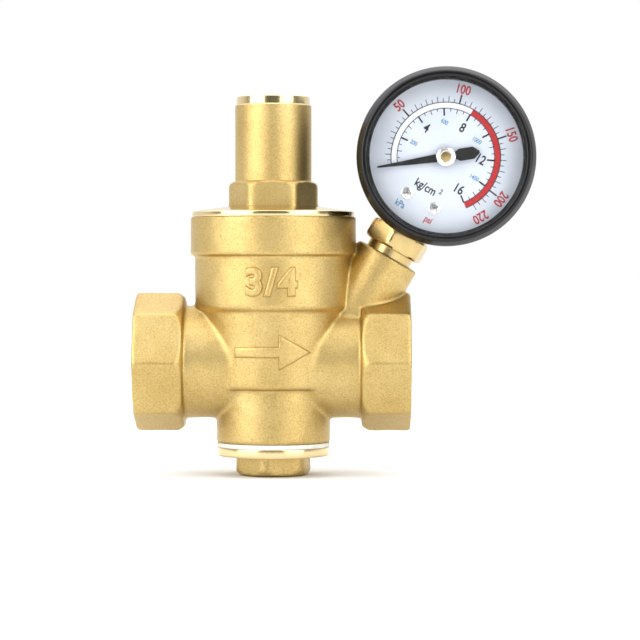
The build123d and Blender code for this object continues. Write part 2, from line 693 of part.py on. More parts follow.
with BuildPart() as gauge_socket:
    # neck, thread and tip
    revolve(
        outline(
            STEM_SECTION,
            (0, STEM_NOSE_Y),
            (STEM_NOSE_R - 0.3, STEM_NOSE_Y),
            (STEM_NOSE_R, STEM_NOSE_Y + 0.3),
            (STEM_NOSE_R, STEM_SHOULDER_Y),
            (GAUGE_BORE_R - RUN - 1.0, STEM_SHOULDER_Y),
            (GAUGE_BORE_R - RUN, STEM_THREAD_Y),
            (GAUGE_BORE_R - RUN, STEM_RELIEF_Y - 0.5),
            (STEM_RELIEF_R, STEM_RELIEF_Y),
            (STEM_RELIEF_R, STEM_NECK_TOP_Y),
            (NECK_IN_CASE_R, STEM_NECK_TOP_Y),
            (NECK_IN_CASE_R, BLOCK_BOTTOM_Y),
            (0, BLOCK_BOTTOM_Y),
        ),
        axis=STEM_AXIS,
    )
    add(stem_hex)
    # foot and block inside the case, which carry the tube and the movement
    with BuildSketch(across_stem(BLOCK_BOTTOM_Y)):
        with Locations((0, BLOCK_FOOT_Z)):
            Rectangle(2 * BLOCK_HALF_WIDTH, BLOCK_FOOT_DEPTH)
    extrude(amount=BLOCK_FOOT_HEIGHT)
    with BuildSketch(across_stem(BLOCK_BOTTOM_Y)):
        with Locations((0, (TUBE_BACK_Z + BACK_PLATE_Z) / -2)):
            Rectangle(2 * BLOCK_HALF_WIDTH, BACK_PLATE_Z - TUBE_BACK_Z)
    extrude(amount=BLOCK_TOP_Y - BLOCK_BOTTOM_Y)
    # posts up to the dial, drilled for its screws
    with BuildSketch(dial_plane(BACK_PLATE_Z)):
        with Locations(*DIAL_SCREWS):
            Circle(POST_R)
    extrude(amount=DIAL_Z - BACK_PLATE_Z)
    with BuildSketch(dial_plane(DIAL_Z)):
        with Locations(*DIAL_SCREWS):
            Circle(DIAL_SCREW_R + SCREW_HOLE)
    extrude(amount=-DIAL_SCREW_LENGTH, mode=Mode.SUBTRACT)
    # water passage up the stem, and the cross hole that feeds it
    with BuildSketch(across_stem(STEM_NOSE_Y)):
        Circle(STEM_BORE_R)
    extrude(amount=STEM_BORE_LENGTH, mode=Mode.SUBTRACT)
    with BuildSketch(dial_plane(0, y=CROSS_HOLE_Y)):
        Circle(CROSS_HOLE_R)
    extrude(amount=CROSS_HOLE_LENGTH / 2, both=True, mode=Mode.SUBTRACT)
    # tapped holes: the movement's screws in front, the case's behind
    with BuildSketch(dial_plane(BACK_PLATE_Z)):
        with Locations([(0, y) for y in MOVEMENT_SCREW_YS]):
            Circle(MOVEMENT_SCREW_R + SCREW_HOLE)
    extrude(amount=-MOVEMENT_SCREW_LENGTH - 0.2, mode=Mode.SUBTRACT)
    with BuildSketch(dial_plane(TUBE_BACK_Z)):
        with Locations(*CASE_SCREWS):
            Circle(CASE_SCREW_R + SCREW_HOLE)
    extrude(amount=CASE_SCREW_LENGTH - 0.5, mode=Mode.SUBTRACT)

with BuildPart() as gauge_case:
    revolve(
        outline(
            STEM_SECTION,
            (CASE_BACK_Z, 0),
            (CASE_BACK_Z, CASE_R),
            (CASE_FRONT_Z, CASE_R),
            (CASE_FRONT_Z, CASE_R - CASE_WALL),
            (CASE_BACK_Z + CASE_WALL, CASE_R - CASE_WALL),
            (CASE_BACK_Z + CASE_WALL, 0),
            radius=[0, 1.8, 0, 0, 1.2, 0],
        ),
        axis=GAUGE_AXIS,
    )
    # the socket's neck comes out through the rim
    with BuildSketch(across_stem(-CASE_R - 1)):
        Circle(NECK_IN_CASE_R + RUN)
    extrude(amount=3.0, mode=Mode.SUBTRACT)
    # two spacers stand off the back for the case screws
    with BuildSketch(dial_plane(CASE_BACK_Z + CASE_WALL)):
        with Locations(*CASE_SCREWS):
            Circle(CASE_SCREW_HEAD_R)
    extrude(amount=TUBE_BACK_Z - CASE_BACK_Z - CASE_WALL)
    with BuildSketch(dial_plane(CASE_BACK_Z)):
        with Locations(*CASE_SCREWS):
            Circle(CASE_SCREW_R + 0.1)
    extrude(amount=TUBE_BACK_Z - CASE_BACK_Z, mode=Mode.SUBTRACT)

with BuildPart() as case_screws:
    with BuildSketch(dial_plane(CASE_BACK_Z)):
        with Locations(*CASE_SCREWS):
            Circle(CASE_SCREW_R)
    extrude(amount=CASE_SCREW_LENGTH)
    with BuildSketch(dial_plane(CASE_BACK_Z)):
        with Locations(*CASE_SCREWS):
            Circle(CASE_SCREW_HEAD_R)
    extrude(amount=-CASE_SCREW_HEAD_HEIGHT)
    chamfer(case_screws.faces().filter_by(Axis.Y).sort_by(Axis.Y)[-2:].edges(), 0.4)

with BuildPart() as gauge_bezel:
    revolve(
        outline(
            STEM_SECTION,
            (BEZEL_BACK_Z, CASE_R),
            (BEZEL_BACK_Z, BEZEL_R - 0.4),
            (BEZEL_BACK_Z + 0.8, BEZEL_R),
            (BEZEL_FRONT_Z - 2.4, BEZEL_R),
            (BEZEL_FRONT_Z, BEZEL_R - 1.3),
            (BEZEL_FRONT_Z, BEZEL_R - 2.5),
            (LENS_Z + LENS_THICKNESS + 0.4, WINDOW_R),
            (LENS_Z + LENS_THICKNESS, WINDOW_R),
            (LENS_Z + LENS_THICKNESS, CASE_R),
            radius=[0, 0.2, 0.6, 1.2, 0.9, 0.6, 0.15, 0, 0],
        ),
        axis=GAUGE_AXIS,
    )

with BuildPart() as gauge_lens:
    with BuildSketch(dial_plane(LENS_Z)):
        Circle(CASE_R - 0.1)
    extrude(amount=LENS_THICKNESS)

with BuildPart() as lens_gasket:
    with BuildSketch(dial_plane(CASE_FRONT_Z)):
        Circle(CASE_R - 0.1)
        Circle(WINDOW_R + 0.4, mode=Mode.SUBTRACT)
    extrude(amount=LENS_Z - CASE_FRONT_Z)

# ---------------------------------------------------------------------------------------------
# Gauge: dial and pointer
# ---------------------------------------------------------------------------------------------

with BuildPart() as gauge_dial:
    with BuildSketch(dial_plane(DIAL_Z)):
        Circle(DIAL_R)
        Circle(DIAL_HOLE_R, mode=Mode.SUBTRACT)
        with Locations(*DIAL_SCREWS):
            Circle(DIAL_SCREW_R + 0.1, mode=Mode.SUBTRACT)
    extrude(amount=DIAL_THICKNESS)

with BuildPart() as dial_screws:
    with BuildSketch(dial_plane(DIAL_Z + DIAL_THICKNESS)):
        with Locations(*DIAL_SCREWS):
            Circle(DIAL_SCREW_R)
    extrude(amount=-DIAL_SCREW_LENGTH)
    with BuildSketch(dial_plane(DIAL_Z + DIAL_THICKNESS)):
        with Locations(*DIAL_SCREWS):
            Circle(DIAL_SCREW_HEAD_R)
    extrude(amount=DIAL_SCREW_HEAD_HEIGHT)

with BuildPart() as pointer:
    with BuildSketch(dial_plane(POINTER_Z, turn=POINTER_ZERO)):
        with BuildLine():
            Polyline(
                (POINTER_TIP, POINTER_POINT),
                (1.0, POINTER_NARROW),
                (-2.0, POINTER_NARROW),
                (-3.0, POINTER_WIDE),
                (1.6 - POINTER_TAIL, POINTER_WIDE),
                (-POINTER_TAIL, 0),
                (1.6 - POINTER_TAIL, -POINTER_WIDE),
                (-3.0, -POINTER_WIDE),
                (-2.0, -POINTER_NARROW),
                (1.0, -POINTER_NARROW),
                (POINTER_TIP, -POINTER_POINT),
                close=True,
            )
        make_face()
        Circle(POINTER_HUB_R)
        Circle(ARBOR_R, mode=Mode.SUBTRACT)
    extrude(amount=POINTER_THICKNESS)

with BuildPart() as pointer_cap:
    with BuildSketch(dial_plane(POINTER_Z + POINTER_THICKNESS)):
        Circle(CAP_R)
    extrude(amount=CAP_HEIGHT)
    chamfer(pointer_cap.faces().sort_by(Axis.Y)[0].edges(), 0.4)
    with BuildSketch(dial_plane(POINTER_Z + POINTER_THICKNESS)):
        Circle(ARBOR_R)
    extrude(amount=CAP_HEIGHT - POINTER_THICKNESS, mode=Mode.SUBTRACT)

# ---------------------------------------------------------------------------------------------
# Gauge: movement
# ---------------------------------------------------------------------------------------------


def tooth(centre_deg, pitch_r, tip_r, root_r, count):
    """One involute tooth's outline points, in the order of rising angle."""
    pressure = math.radians(20)
    base_r = pitch_r * math.cos(pressure)
    half_pitch = math.pi / (2 * count) - GEAR_SLACK / (2 * pitch_r)
    half_at_base = half_pitch + math.tan(pressure) - pressure
    rising = []
    for step in range(5):
        r = root_r + (tip_r - root_r) * step / 4
        roll = math.acos(min(1.0, base_r / r))
        rising.append((r, half_at_base - (math.tan(roll) - roll)))
    centre = math.radians(centre_deg)
    flanks = [(r, centre - half) for r, half in rising]
    flanks += [(r, centre + half) for r, half in reversed(rising)]
    return [(r * math.cos(a), r * math.sin(a)) for r, a in flanks]


pinion_pitch_r = GEAR_MODULE * PINION_TEETH / 2
sector_pitch_r = GEAR_MODULE * SECTOR_TEETH / 2
sector_pivot = Vector(pinion_pitch_r + sector_pitch_r, 0).rotate(Axis.Z, SECTOR_PIVOT_DEG)
# half way through its swing the tail points straight away from the pointer
tail_deg = SECTOR_PIVOT_DEG - POINTER_SWEEP * PINION_TEETH / SECTOR_TEETH / 2
tail_middle = Vector(TAIL_LENGTH / 2, 0).rotate(Axis.Z, tail_deg)
tail_pin = sector_pivot + tail_middle * 2
tip_pin_deg = (TUBE_END_DEG + TIP_END_DEG) / 2
tip_pin = Vector(TUBE_COIL_R, 0).rotate(Axis.Z, tip_pin_deg)

with BuildPart() as pinion:
    # arbor from plate to plate and on to the pointer
    with BuildSketch(dial_plane(BACK_PLATE_Z - 0.3)):
        Circle(ARBOR_R)
    extrude(amount=POINTER_Z + 1.0 - BACK_PLATE_Z + 0.3)
    tooth_step = 360 / PINION_TEETH
    teeth = []
    for n in range(PINION_TEETH):
        centre_deg = SECTOR_PIVOT_DEG + (n + 0.5) * tooth_step
        tip_r = pinion_pitch_r + GEAR_MODULE
        root_r = pinion_pitch_r - 1.2 * GEAR_MODULE
        teeth += tooth(centre_deg, pinion_pitch_r, tip_r, root_r, PINION_TEETH)
    with BuildSketch(dial_plane(SECTOR_Z - 0.4)):
        Polygon(*teeth, align=None)
    extrude(amount=SECTOR_THICKNESS + 0.8)

with BuildPart() as sector_gear:
    sector_teeth = []
    mesh_deg = SECTOR_PIVOT_DEG + 180
    for n in reversed(SECTOR_CUT):
        centre_deg = mesh_deg - n * 360 / SECTOR_TEETH
        tip_r = sector_pitch_r + 0.8 * GEAR_MODULE
        root_r = sector_pitch_r - 1.35 * GEAR_MODULE
        sector_teeth += tooth(centre_deg, sector_pitch_r, tip_r, root_r, SECTOR_TEETH)
    with BuildSketch(dial_plane(SECTOR_Z, sector_pivot.X, sector_pivot.Y)):
        Polygon((0, 0), *sector_teeth, align=None)
        Circle(SECTOR_HUB_R)
        # tail, out to the link's pin
        with Locations(tail_middle):
            SlotCenterToCenter(TAIL_LENGTH, TAIL_WIDTH, rotation=tail_deg)
        # lightening window
        with BuildLine(mode=Mode.PRIVATE):
            window_arc = CenterArc((0, 0), 5.2, mesh_deg - 42, 36)
        SlotArc(window_arc, 2.4, mode=Mode.SUBTRACT)
    extrude(amount=SECTOR_THICKNESS)
    # its own shaft between the plates, and the pin for the link
    with BuildSketch(dial_plane(BACK_PLATE_Z + 0.1, sector_pivot.X, sector_pivot.Y)):
        Circle(ARBOR_R)
    extrude(amount=FRONT_PLATE_Z + PLATE_THICKNESS - BACK_PLATE_Z - 0.2)
    with BuildSketch(dial_plane(SECTOR_Z, tail_pin.X, tail_pin.Y)):
        Circle(TAIL_PIN_R)
    extrude(amount=LINK_Z + LINK_THICKNESS + 0.4 - SECTOR_Z)

with BuildPart() as bourdon_tube:
    tube_sweep = TUBE_END_DEG - TUBE_START_DEG - 360
    with BuildSketch(dial_plane(TUBE_BACK_Z)):
        with BuildLine():
            CenterArc((0, 0), TUBE_COIL_R, TUBE_START_DEG, tube_sweep)
        trace(line_width=TUBE_THICKNESS)
    extrude(amount=TUBE_FRONT_Z - TUBE_BACK_Z)
    # its root ends on the socket's block
    with BuildSketch(dial_plane(TUBE_BACK_Z)):
        with Locations((0, (BLOCK_TOP_Y + BLOCK_BOTTOM_Y) / 2)):
            Rectangle(2 * BLOCK_HALF_WIDTH, BLOCK_TOP_Y - BLOCK_BOTTOM_Y)
    extrude(amount=TUBE_FRONT_Z - TUBE_BACK_Z, mode=Mode.SUBTRACT)

with BuildPart() as tube_tip:
    with BuildSketch(dial_plane(TUBE_BACK_Z)):
        with BuildLine():
            CenterArc((0, 0), TUBE_COIL_R, TUBE_END_DEG - 0.3, TIP_END_DEG - TUBE_END_DEG)
        trace(line_width=TUBE_THICKNESS + 1.0)
    extrude(amount=TUBE_FRONT_Z - TUBE_BACK_Z)
    # post and pin that carry the link past the movement's back plate
    with BuildSketch(dial_plane(TUBE_FRONT_Z, tip_pin.X, tip_pin.Y)):
        Circle(TIP_POST_R)
    extrude(amount=LINK_Z - TUBE_FRONT_Z)
    with BuildSketch(dial_plane(LINK_Z, tip_pin.X, tip_pin.Y)):
        Circle(TIP_PIN_R)
    extrude(amount=LINK_THICKNESS + 0.3)

# the tail's pin swings on a small arc and the tube's end on a large one, so the link's eye is
# wide enough for both, and is centred half way between them
furthest_pin_r = sector_pivot.length + TAIL_LENGTH
link_eye = tail_pin * ((furthest_pin_r + tail_pin.length) / 2 / tail_pin.length)
link_run = tip_pin - link_eye
link_deg = math.degrees(math.atan2(link_run.Y, link_run.X))

with BuildPart() as link:
    middle = (tip_pin + link_eye) * 0.5
    with BuildSketch(dial_plane(LINK_Z)):
        with Locations((middle.X, middle.Y)):
            SlotCenterToCenter(link_run.length, LINK_WIDTH, rotation=link_deg)
        with Locations((link_eye.X, link_eye.Y)):
            Circle(LINK_EYE_BOSS_R)
            Circle(LINK_EYE_R, mode=Mode.SUBTRACT)
        with Locations((tip_pin.X, tip_pin.Y)):
            Circle(LINK_TIP_BOSS_R)
            Circle(TIP_PIN_R, mode=Mode.SUBTRACT)
    extrude(amount=LINK_THICKNESS)

bearing_places = [(0, 0), (sector_pivot.X, sector_pivot.Y)]


def plate_outline(plane, *more):
    """A movement plate: the pillars, both bearings and any further corners, hulled."""
    with BuildSketch(plane) as sketch:
        with Locations(*PILLARS, *bearing_places, *more):
            Circle(PLATE_CORNER_R)
        make_hull()
        with Locations(*bearing_places):
            Circle(ARBOR_R + RUN, mode=Mode.SUBTRACT)
        with Locations(*PILLARS):
            Circle(RIVET_R + SCREW_HOLE, mode=Mode.SUBTRACT)
    return sketch.sketch


with BuildPart() as movement_back_plate:
    extrude(plate_outline(dial_plane(BACK_PLATE_Z), *PLATE_TABS), PLATE_THICKNESS)
    with BuildSketch(dial_plane(BACK_PLATE_Z)):
        with Locations(*DIAL_SCREWS):
            Circle(POST_R + GAP)
        with Locations([(0, y) for y in MOVEMENT_SCREW_YS]):
            Circle(MOVEMENT_SCREW_R + 0.1)
    extrude(amount=PLATE_THICKNESS, mode=Mode.SUBTRACT)

with BuildPart() as movement_front_plate:
    extrude(plate_outline(dial_plane(FRONT_PLATE_Z)), PLATE_THICKNESS)

with BuildPart() as movement_pillars:
    # shouldered posts with a rivet end through each plate
    for x, y in PILLARS:
        with BuildSketch(dial_plane(BACK_PLATE_Z + PLATE_THICKNESS, x, y)):
            Circle(PILLAR_R)
        extrude(amount=FRONT_PLATE_Z - BACK_PLATE_Z - PLATE_THICKNESS)
        with BuildSketch(dial_plane(BACK_PLATE_Z, x, y)):
            Circle(RIVET_R)
        extrude(amount=FRONT_PLATE_Z - BACK_PLATE_Z + PLATE_THICKNESS)

with BuildPart() as movement_screws:
    for y in MOVEMENT_SCREW_YS:
        with BuildSketch(dial_plane(BACK_PLATE_Z + PLATE_THICKNESS, 0, y)):
            Circle(MOVEMENT_SCREW_R)
        extrude(amount=-PLATE_THICKNESS - MOVEMENT_SCREW_LENGTH)
        with BuildSketch(dial_plane(BACK_PLATE_Z + PLATE_THICKNESS, 0, y)):
            Circle(MOVEMENT_SCREW_HEAD_R)
        extrude(amount=MOVEMENT_SCREW_HEAD_HEIGHT)

with BuildPart() as hairspring:
    with BuildSketch(dial_plane(HAIRSPRING_Z)):
        with BuildLine():
            for n in range(HAIRSPRING_HALF_TURNS):
                side = 1 if n % 2 == 0 else -1
                centre_x = side * HAIRSPRING_GROWTH / 2 - HAIRSPRING_GROWTH / 2
                arc_r = HAIRSPRING_R + n * HAIRSPRING_GROWTH
                CenterArc((centre_x, 0), arc_r, 180 * (n % 2), 180)
        trace(line_width=HAIRSPRING_STRIP)
    extrude(amount=HAIRSPRING_WIDTH)

# ---------------------------------------------------------------------------------------------
# Write every piece
# ---------------------------------------------------------------------------------------------

PIECES = {
    "valve_body": valve_body,
    "bonnet": bonnet,
    "bonnet_seal": bonnet_seal,
    "adjusting_screw": adjusting_screw,
    "spring_seat": spring_seat,
    "main_spring": main_spring,
    "piston": piston,
    "piston_o_ring": piston_o_ring,
    "valve_disc": valve_disc,
    "disc_holder": disc_holder,
    "disc_nut": disc_nut,
    "bottom_plug": bottom_plug,
    "bottom_gasket": bottom_gasket,
    "gauge_socket": gauge_socket,
    "gauge_case": gauge_case,
    "case_screws": case_screws,
    "gauge_bezel": gauge_bezel,
    "gauge_lens": gauge_lens,
    "lens_gasket": lens_gasket,
    "gauge_dial": gauge_dial,
    "dial_screws": dial_screws,
    "pointer": pointer,
    "pointer_cap": pointer_cap,
    "pinion": pinion,
    "sector_gear": sector_gear,
    "bourdon_tube": bourdon_tube,
    "tube_tip": tube_tip,
    "link": link,
    "movement_back_plate": movement_back_plate,
    "movement_front_plate": movement_front_plate,
    "movement_pillars": movement_pillars,
    "movement_screws": movement_screws,
    "hairspring": hairspring,
}

os.makedirs("parts", exist_ok=True)
for name, piece in PIECES.items():
    piece.part.label = name
    export_step(piece.part, f"parts/{name}.step")
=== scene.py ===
import math

import bmesh
import bpy
import numpy as np
import openvdb as vdb
from mathutils import Matrix, Vector


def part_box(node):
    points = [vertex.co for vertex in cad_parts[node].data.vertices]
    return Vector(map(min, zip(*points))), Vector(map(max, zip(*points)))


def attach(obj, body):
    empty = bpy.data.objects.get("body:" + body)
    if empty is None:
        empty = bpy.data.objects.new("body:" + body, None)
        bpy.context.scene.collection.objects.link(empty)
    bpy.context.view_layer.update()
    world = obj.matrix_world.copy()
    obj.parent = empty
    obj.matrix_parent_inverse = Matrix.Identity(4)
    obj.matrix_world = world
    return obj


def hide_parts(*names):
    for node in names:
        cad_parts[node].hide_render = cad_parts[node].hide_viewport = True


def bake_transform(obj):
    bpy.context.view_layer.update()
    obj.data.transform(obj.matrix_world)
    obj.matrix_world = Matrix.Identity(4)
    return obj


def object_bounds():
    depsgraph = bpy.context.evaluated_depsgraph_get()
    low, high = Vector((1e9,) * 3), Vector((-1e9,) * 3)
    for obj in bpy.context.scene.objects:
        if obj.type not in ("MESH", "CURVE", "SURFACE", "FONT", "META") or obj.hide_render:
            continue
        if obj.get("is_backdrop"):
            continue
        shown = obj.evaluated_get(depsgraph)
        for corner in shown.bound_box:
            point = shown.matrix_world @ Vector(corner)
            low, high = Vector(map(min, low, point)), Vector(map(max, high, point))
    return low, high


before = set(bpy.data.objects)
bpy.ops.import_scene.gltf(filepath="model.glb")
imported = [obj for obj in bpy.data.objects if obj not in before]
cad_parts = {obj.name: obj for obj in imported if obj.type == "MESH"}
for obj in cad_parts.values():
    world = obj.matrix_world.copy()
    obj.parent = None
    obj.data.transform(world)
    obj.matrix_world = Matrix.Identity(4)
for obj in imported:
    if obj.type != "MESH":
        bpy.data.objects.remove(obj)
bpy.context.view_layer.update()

# ---------------------------------------------------------------------------------------------
# Places and sizes, in millimetres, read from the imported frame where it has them
# ---------------------------------------------------------------------------------------------

MM = 0.001
SEGMENTS = 144                       # round a turned piece
ROWS_PER_PITCH = 12                  # of points along a thread

body_low, body_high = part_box("valve_body")
bezel_low, bezel_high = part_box("gauge_bezel")

PORT_REACH = (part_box("bonnet")[0].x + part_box("bonnet")[1].x) / 2 / MM
FOOT_Z = body_low.z / MM
RIM_Z = body_high.z / MM
BAND_R = body_high.y / MM
OCTAGON_R = 16.95
OCTAGON_LENGTH = 12.0
PORT_THREAD_R = 13.22
PORT_THREAD_LENGTH = 11.5
G34_PITCH = 1.814
M16_PITCH = 1.5
GAUGE_REACH = 27.5
LEAN = math.radians(30)

GAUGE_AT = (bezel_low + bezel_high) / 2 / MM
GAUGE_BACK_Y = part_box("gauge_case")[1].y / MM
BEZEL_FRONT_Y = bezel_low.y / MM


class Place:
    """A right-handed frame in millimetres: an origin and its x and z directions."""

    def __init__(self, origin, x, z):
        self.origin = Vector(origin)
        self.x = Vector(x).normalized()
        self.z = Vector(z).normalized()
        self.y = self.z.cross(self.x)

    def points(self, local):
        """Local points, as rows, in metres in the row frame."""
        turn = np.array([self.x, self.y, self.z])
        return (np.asarray(local, float) @ turn + np.array(self.origin)) * MM


VALVE = Place((PORT_REACH, 0, 0), (1, 0, 0), (0, 0, 1))
INLET = Place((0, 0, 0), (0, 1, 0), (1, 0, 0))
OUTLET = Place((2 * PORT_REACH, 0, 0), (0, 1, 0), (-1, 0, 0))
DIAL_X = (math.cos(LEAN), 0, -math.sin(LEAN))
STEM_UP = (math.sin(LEAN), 0, math.cos(LEAN))
GAUGE_CENTRE = (GAUGE_AT.x, 0, GAUGE_AT.z)
DIAL = Place(GAUGE_CENTRE, DIAL_X, (0, -1, 0))
STEM = Place(GAUGE_CENTRE, DIAL_X, STEM_UP)
GAUGE_MOUTH = Vector(GAUGE_CENTRE) - Vector(STEM_UP) * GAUGE_REACH

# ---------------------------------------------------------------------------------------------
# Materials
# ---------------------------------------------------------------------------------------------


class Shader:
    """A new material with its Principled shader, and short ways to add procedural nodes."""

    def __init__(self, name, metallic=0.0, roughness=0.4, **sockets):
        self.material = bpy.data.materials.new(name)
        self.material.use_nodes = True
        self.tree = self.material.node_tree
        self.shader = self.tree.nodes["Principled BSDF"]
        self.shader.inputs["Metallic"].default_value = metallic
        self.shader.inputs["Roughness"].default_value = roughness
        for socket, value in sockets.items():
            self.shader.inputs[socket.replace("_", " ")].default_value = value
        self.place = self.tree.nodes.new("ShaderNodeTexCoord").outputs["Object"]

    def node(self, kind, **values):
        made = self.tree.nodes.new(kind)
        for key, value in values.items():
            if hasattr(made, key):
                setattr(made, key, value)
            else:
                made.inputs[key.replace("_", " ")].default_value = value
        return made

    def link(self, source, target):
        self.tree.links.new(source, target)

    def scaled(self, scale):
        """The object's own coordinates, in units of the given size in metres along x, y and z."""
        mapping = self.node("ShaderNodeMapping")
        mapping.inputs["Scale"].default_value = [1 / s for s in scale]
        self.link(self.place, mapping.inputs["Vector"])
        return mapping.outputs["Vector"]

    def noise(self, size_mm, detail=3.0, roughness=0.55, stretch=(1, 1, 1)):
        size = [size_mm * MM * s for s in stretch]
        noise = self.node("ShaderNodeTexNoise", Scale=1.0, Detail=detail, Roughness=roughness)
        self.link(self.scaled(size), noise.inputs["Vector"])
        return noise.outputs["Fac"]

    def ramp(self, source, *stops):
        """A colour ramp through (position, colour or grey) stops."""
        ramp = self.node("ShaderNodeValToRGB")
        elements = ramp.color_ramp.elements
        while len(elements) < len(stops):
            elements.new(0.5)
        for element, (position, value) in zip(elements, stops):
            element.position = position
            colour = (value, value, value) if isinstance(value, float) else value
            element.color = (*colour, 1.0)
        self.link(source, ramp.inputs["Fac"])
        return ramp.outputs["Color"]

    def mix(self, factor, a, b, kind="MIX"):
        mix = self.node("ShaderNodeMix", data_type="RGBA", blend_type=kind)
        for source, name in ((factor, 0), (a, 6), (b, 7)):
            if isinstance(source, bpy.types.NodeSocket):
                self.link(source, mix.inputs[name])
            elif name == 0:
                mix.inputs[name].default_value = source
            else:
                mix.inputs[name].default_value = (*source, 1.0)
        return mix.outputs[2]

    def colour(self, source):
        self.link(source, self.shader.inputs["Base Color"])

    def roughness(self, source):
        self.link(source, self.shader.inputs["Roughness"])

    def bump(self, *layers):
        """Stacks bumps, each (source, height in mm, strength)."""
        normal = None
        for source, height_mm, strength in layers:
            bump = self.node("ShaderNodeBump", Strength=strength, Distance=height_mm * MM)
            self.link(source, bump.inputs["Height"])
            if normal is not None:
                self.link(normal, bump.inputs["Normal"])
            normal = bump.outputs["Normal"]
        self.link(normal, self.shader.inputs["Normal"])


def cast_brass():
    """Sand-blasted casting: fine grain, a few pits, slow changes of tone."""
    s = Shader("cast_brass", metallic=1.0, roughness=0.40)
    patches = s.noise(11.0, detail=4.0)
    speckle = s.noise(0.36, detail=3.0, roughness=0.6)
    tone = s.ramp(patches, (0.30, (0.50, 0.355, 0.128)), (0.55, (0.545, 0.40, 0.155)),
                  (0.75, (0.59, 0.445, 0.19)))
    fleck = s.ramp(speckle, (0.30, (0.77, 0.74, 0.68)), (0.5, (1.0, 1.0, 1.0)), (0.70, (1.15, 1.16, 1.22)))
    s.colour(s.mix(0.9, tone, fleck, "MULTIPLY"))
    s.roughness(s.ramp(speckle, (0.35, 0.46), (0.7, 0.36)))
    grain = s.noise(0.30, detail=5.0, roughness=0.7)
    waves = s.noise(5.0, detail=3.0)
    pit_noise = s.noise(1.7, detail=1.0, roughness=0.4)
    pits = s.ramp(pit_noise, (0.22, 0.0), (0.26, 1.0))
    s.bump((waves, 0.22, 0.3), (grain, 0.065, 0.9), (pits, 0.10, 0.4))
    return s.material


def machined_brass(name="machined_brass", roughness=0.17, tint=(0.78, 0.63, 0.34), line_mm=(30, 30, 0.12)):
    """Turned brass: fine tool lines round the piece, bright, with faint handling marks."""
    s = Shader(name, metallic=1.0, roughness=roughness)
    patches = s.noise(6.0, detail=3.0)
    darker = tuple(c * 0.9 for c in tint)
    s.colour(s.ramp(patches, (0.3, darker), (0.7, tint)))
    lines = s.noise(1.0, detail=2.0, stretch=line_mm)
    smudge = s.noise(2.2, detail=4.0, roughness=0.6)
    s.roughness(s.ramp(smudge, (0.3, roughness * 0.85), (0.75, roughness * 1.25)))
    s.bump((lines, 0.008, 0.4), (smudge, 0.006, 0.2))
    return s.material


def black_enamel():
    """Baked gloss enamel on pressed steel: faint orange peel."""
    s = Shader("black_enamel", roughness=0.2, Specular_IOR_Level=0.32)
    patches = s.noise(5.0, detail=3.0)
    s.colour(s.ramp(patches, (0.3, (0.004, 0.004, 0.005)), (0.7, (0.009, 0.009, 0.010))))
    s.roughness(s.ramp(patches, (0.3, 0.14), (0.8, 0.22)))
    peel = s.noise(1.1, detail=2.0, roughness=0.4)
    s.bump((peel, 0.012, 0.35),)
    return s.material


def lens_glass():
    """Clear flat window."""
    s = Shader("lens_glass", roughness=0.02, IOR=1.45, Transmission_Weight=1.0, Alpha=0.16)
    haze = s.noise(8.0, detail=3.0)
    s.roughness(s.ramp(haze, (0.3, 0.01), (0.8, 0.05)))
    s.colour(s.ramp(haze, (0.0, (0.97, 0.985, 1.0)), (1.0, (1.0, 1.0, 1.0))))
    return s.material


def dial_face():
    """Silvered white dial, satin, slightly cool."""
    s = Shader("dial_face", metallic=0.15, roughness=0.42)
    fine = s.noise(0.25, detail=3.0)
    cloud = s.noise(12.0, detail=2.0)
    base = s.ramp(cloud, (0.25, (0.62, 0.68, 0.77)), (0.75, (0.72, 0.77, 0.85)))
    s.colour(s.mix(0.25, base, s.ramp(fine, (0.2, 0.86), (0.8, 1.0)), "MULTIPLY"))
    s.bump((fine, 0.006, 0.3),)
    return s.material


def ink(name, colour):
    """Printed ink, slightly uneven."""
    s = Shader(name, roughness=0.45)
    lay = s.noise(0.7, detail=3.0)
    lighter = tuple(min(1.0, c * 1.25 + 0.004) for c in colour)
    s.colour(s.ramp(lay, (0.3, colour), (0.8, lighter)))
    s.bump((lay, 0.004, 0.2),)
    return s.material


def satin_black(name="satin_black"):
    s = Shader(name, roughness=0.35)
    wear = s.noise(1.8, detail=4.0)
    s.colour(s.ramp(wear, (0.3, (0.006, 0.006, 0.006)), (0.8, (0.018, 0.018, 0.019))))
    s.roughness(s.ramp(wear, (0.3, 0.3), (0.8, 0.45)))
    s.bump((wear, 0.006, 0.2),)
    return s.material


def bright_steel(name="bright_steel", tone=0.72, roughness=0.16):
    s = Shader(name, metallic=1.0, roughness=roughness)
    wear = s.noise(1.2, detail=4.0)
    s.colour(s.ramp(wear, (0.3, (tone * 0.85, tone * 0.85, tone * 0.86)), (0.75, (tone, tone, tone))))
    s.roughness(s.ramp(wear, (0.3, roughness * 0.7), (0.8, roughness * 1.7)))
    s.bump((wear, 0.01, 0.3),)
    return s.material


def rubber(name="seal_rubber"):
    s = Shader(name, roughness=0.7)
    mottle = s.noise(0.8, detail=4.0)
    s.colour(s.ramp(mottle, (0.3, (0.012, 0.012, 0.012)), (0.8, (0.03, 0.03, 0.03))))
    s.bump((mottle, 0.02, 0.4),)
    return s.material


def white_gasket():
    s = Shader("white_gasket", roughness=0.5, Subsurface_Weight=0.1)
    mottle = s.noise(1.4, detail=4.0)
    s.colour(s.ramp(mottle, (0.3, (0.70, 0.68, 0.60)), (0.75, (0.84, 0.83, 0.77))))
    s.bump((mottle, 0.03, 0.4),)
    return s.material


def floor_paper():
    s = Shader("floor_paper", roughness=0.9)
    fibre = s.noise(1.5, detail=4.0)
    s.colour(s.ramp(fibre, (0.2, (0.82, 0.82, 0.82)), (0.8, (0.85, 0.85, 0.85))))
    s.bump((fibre, 0.02, 0.2),)
    return s.material


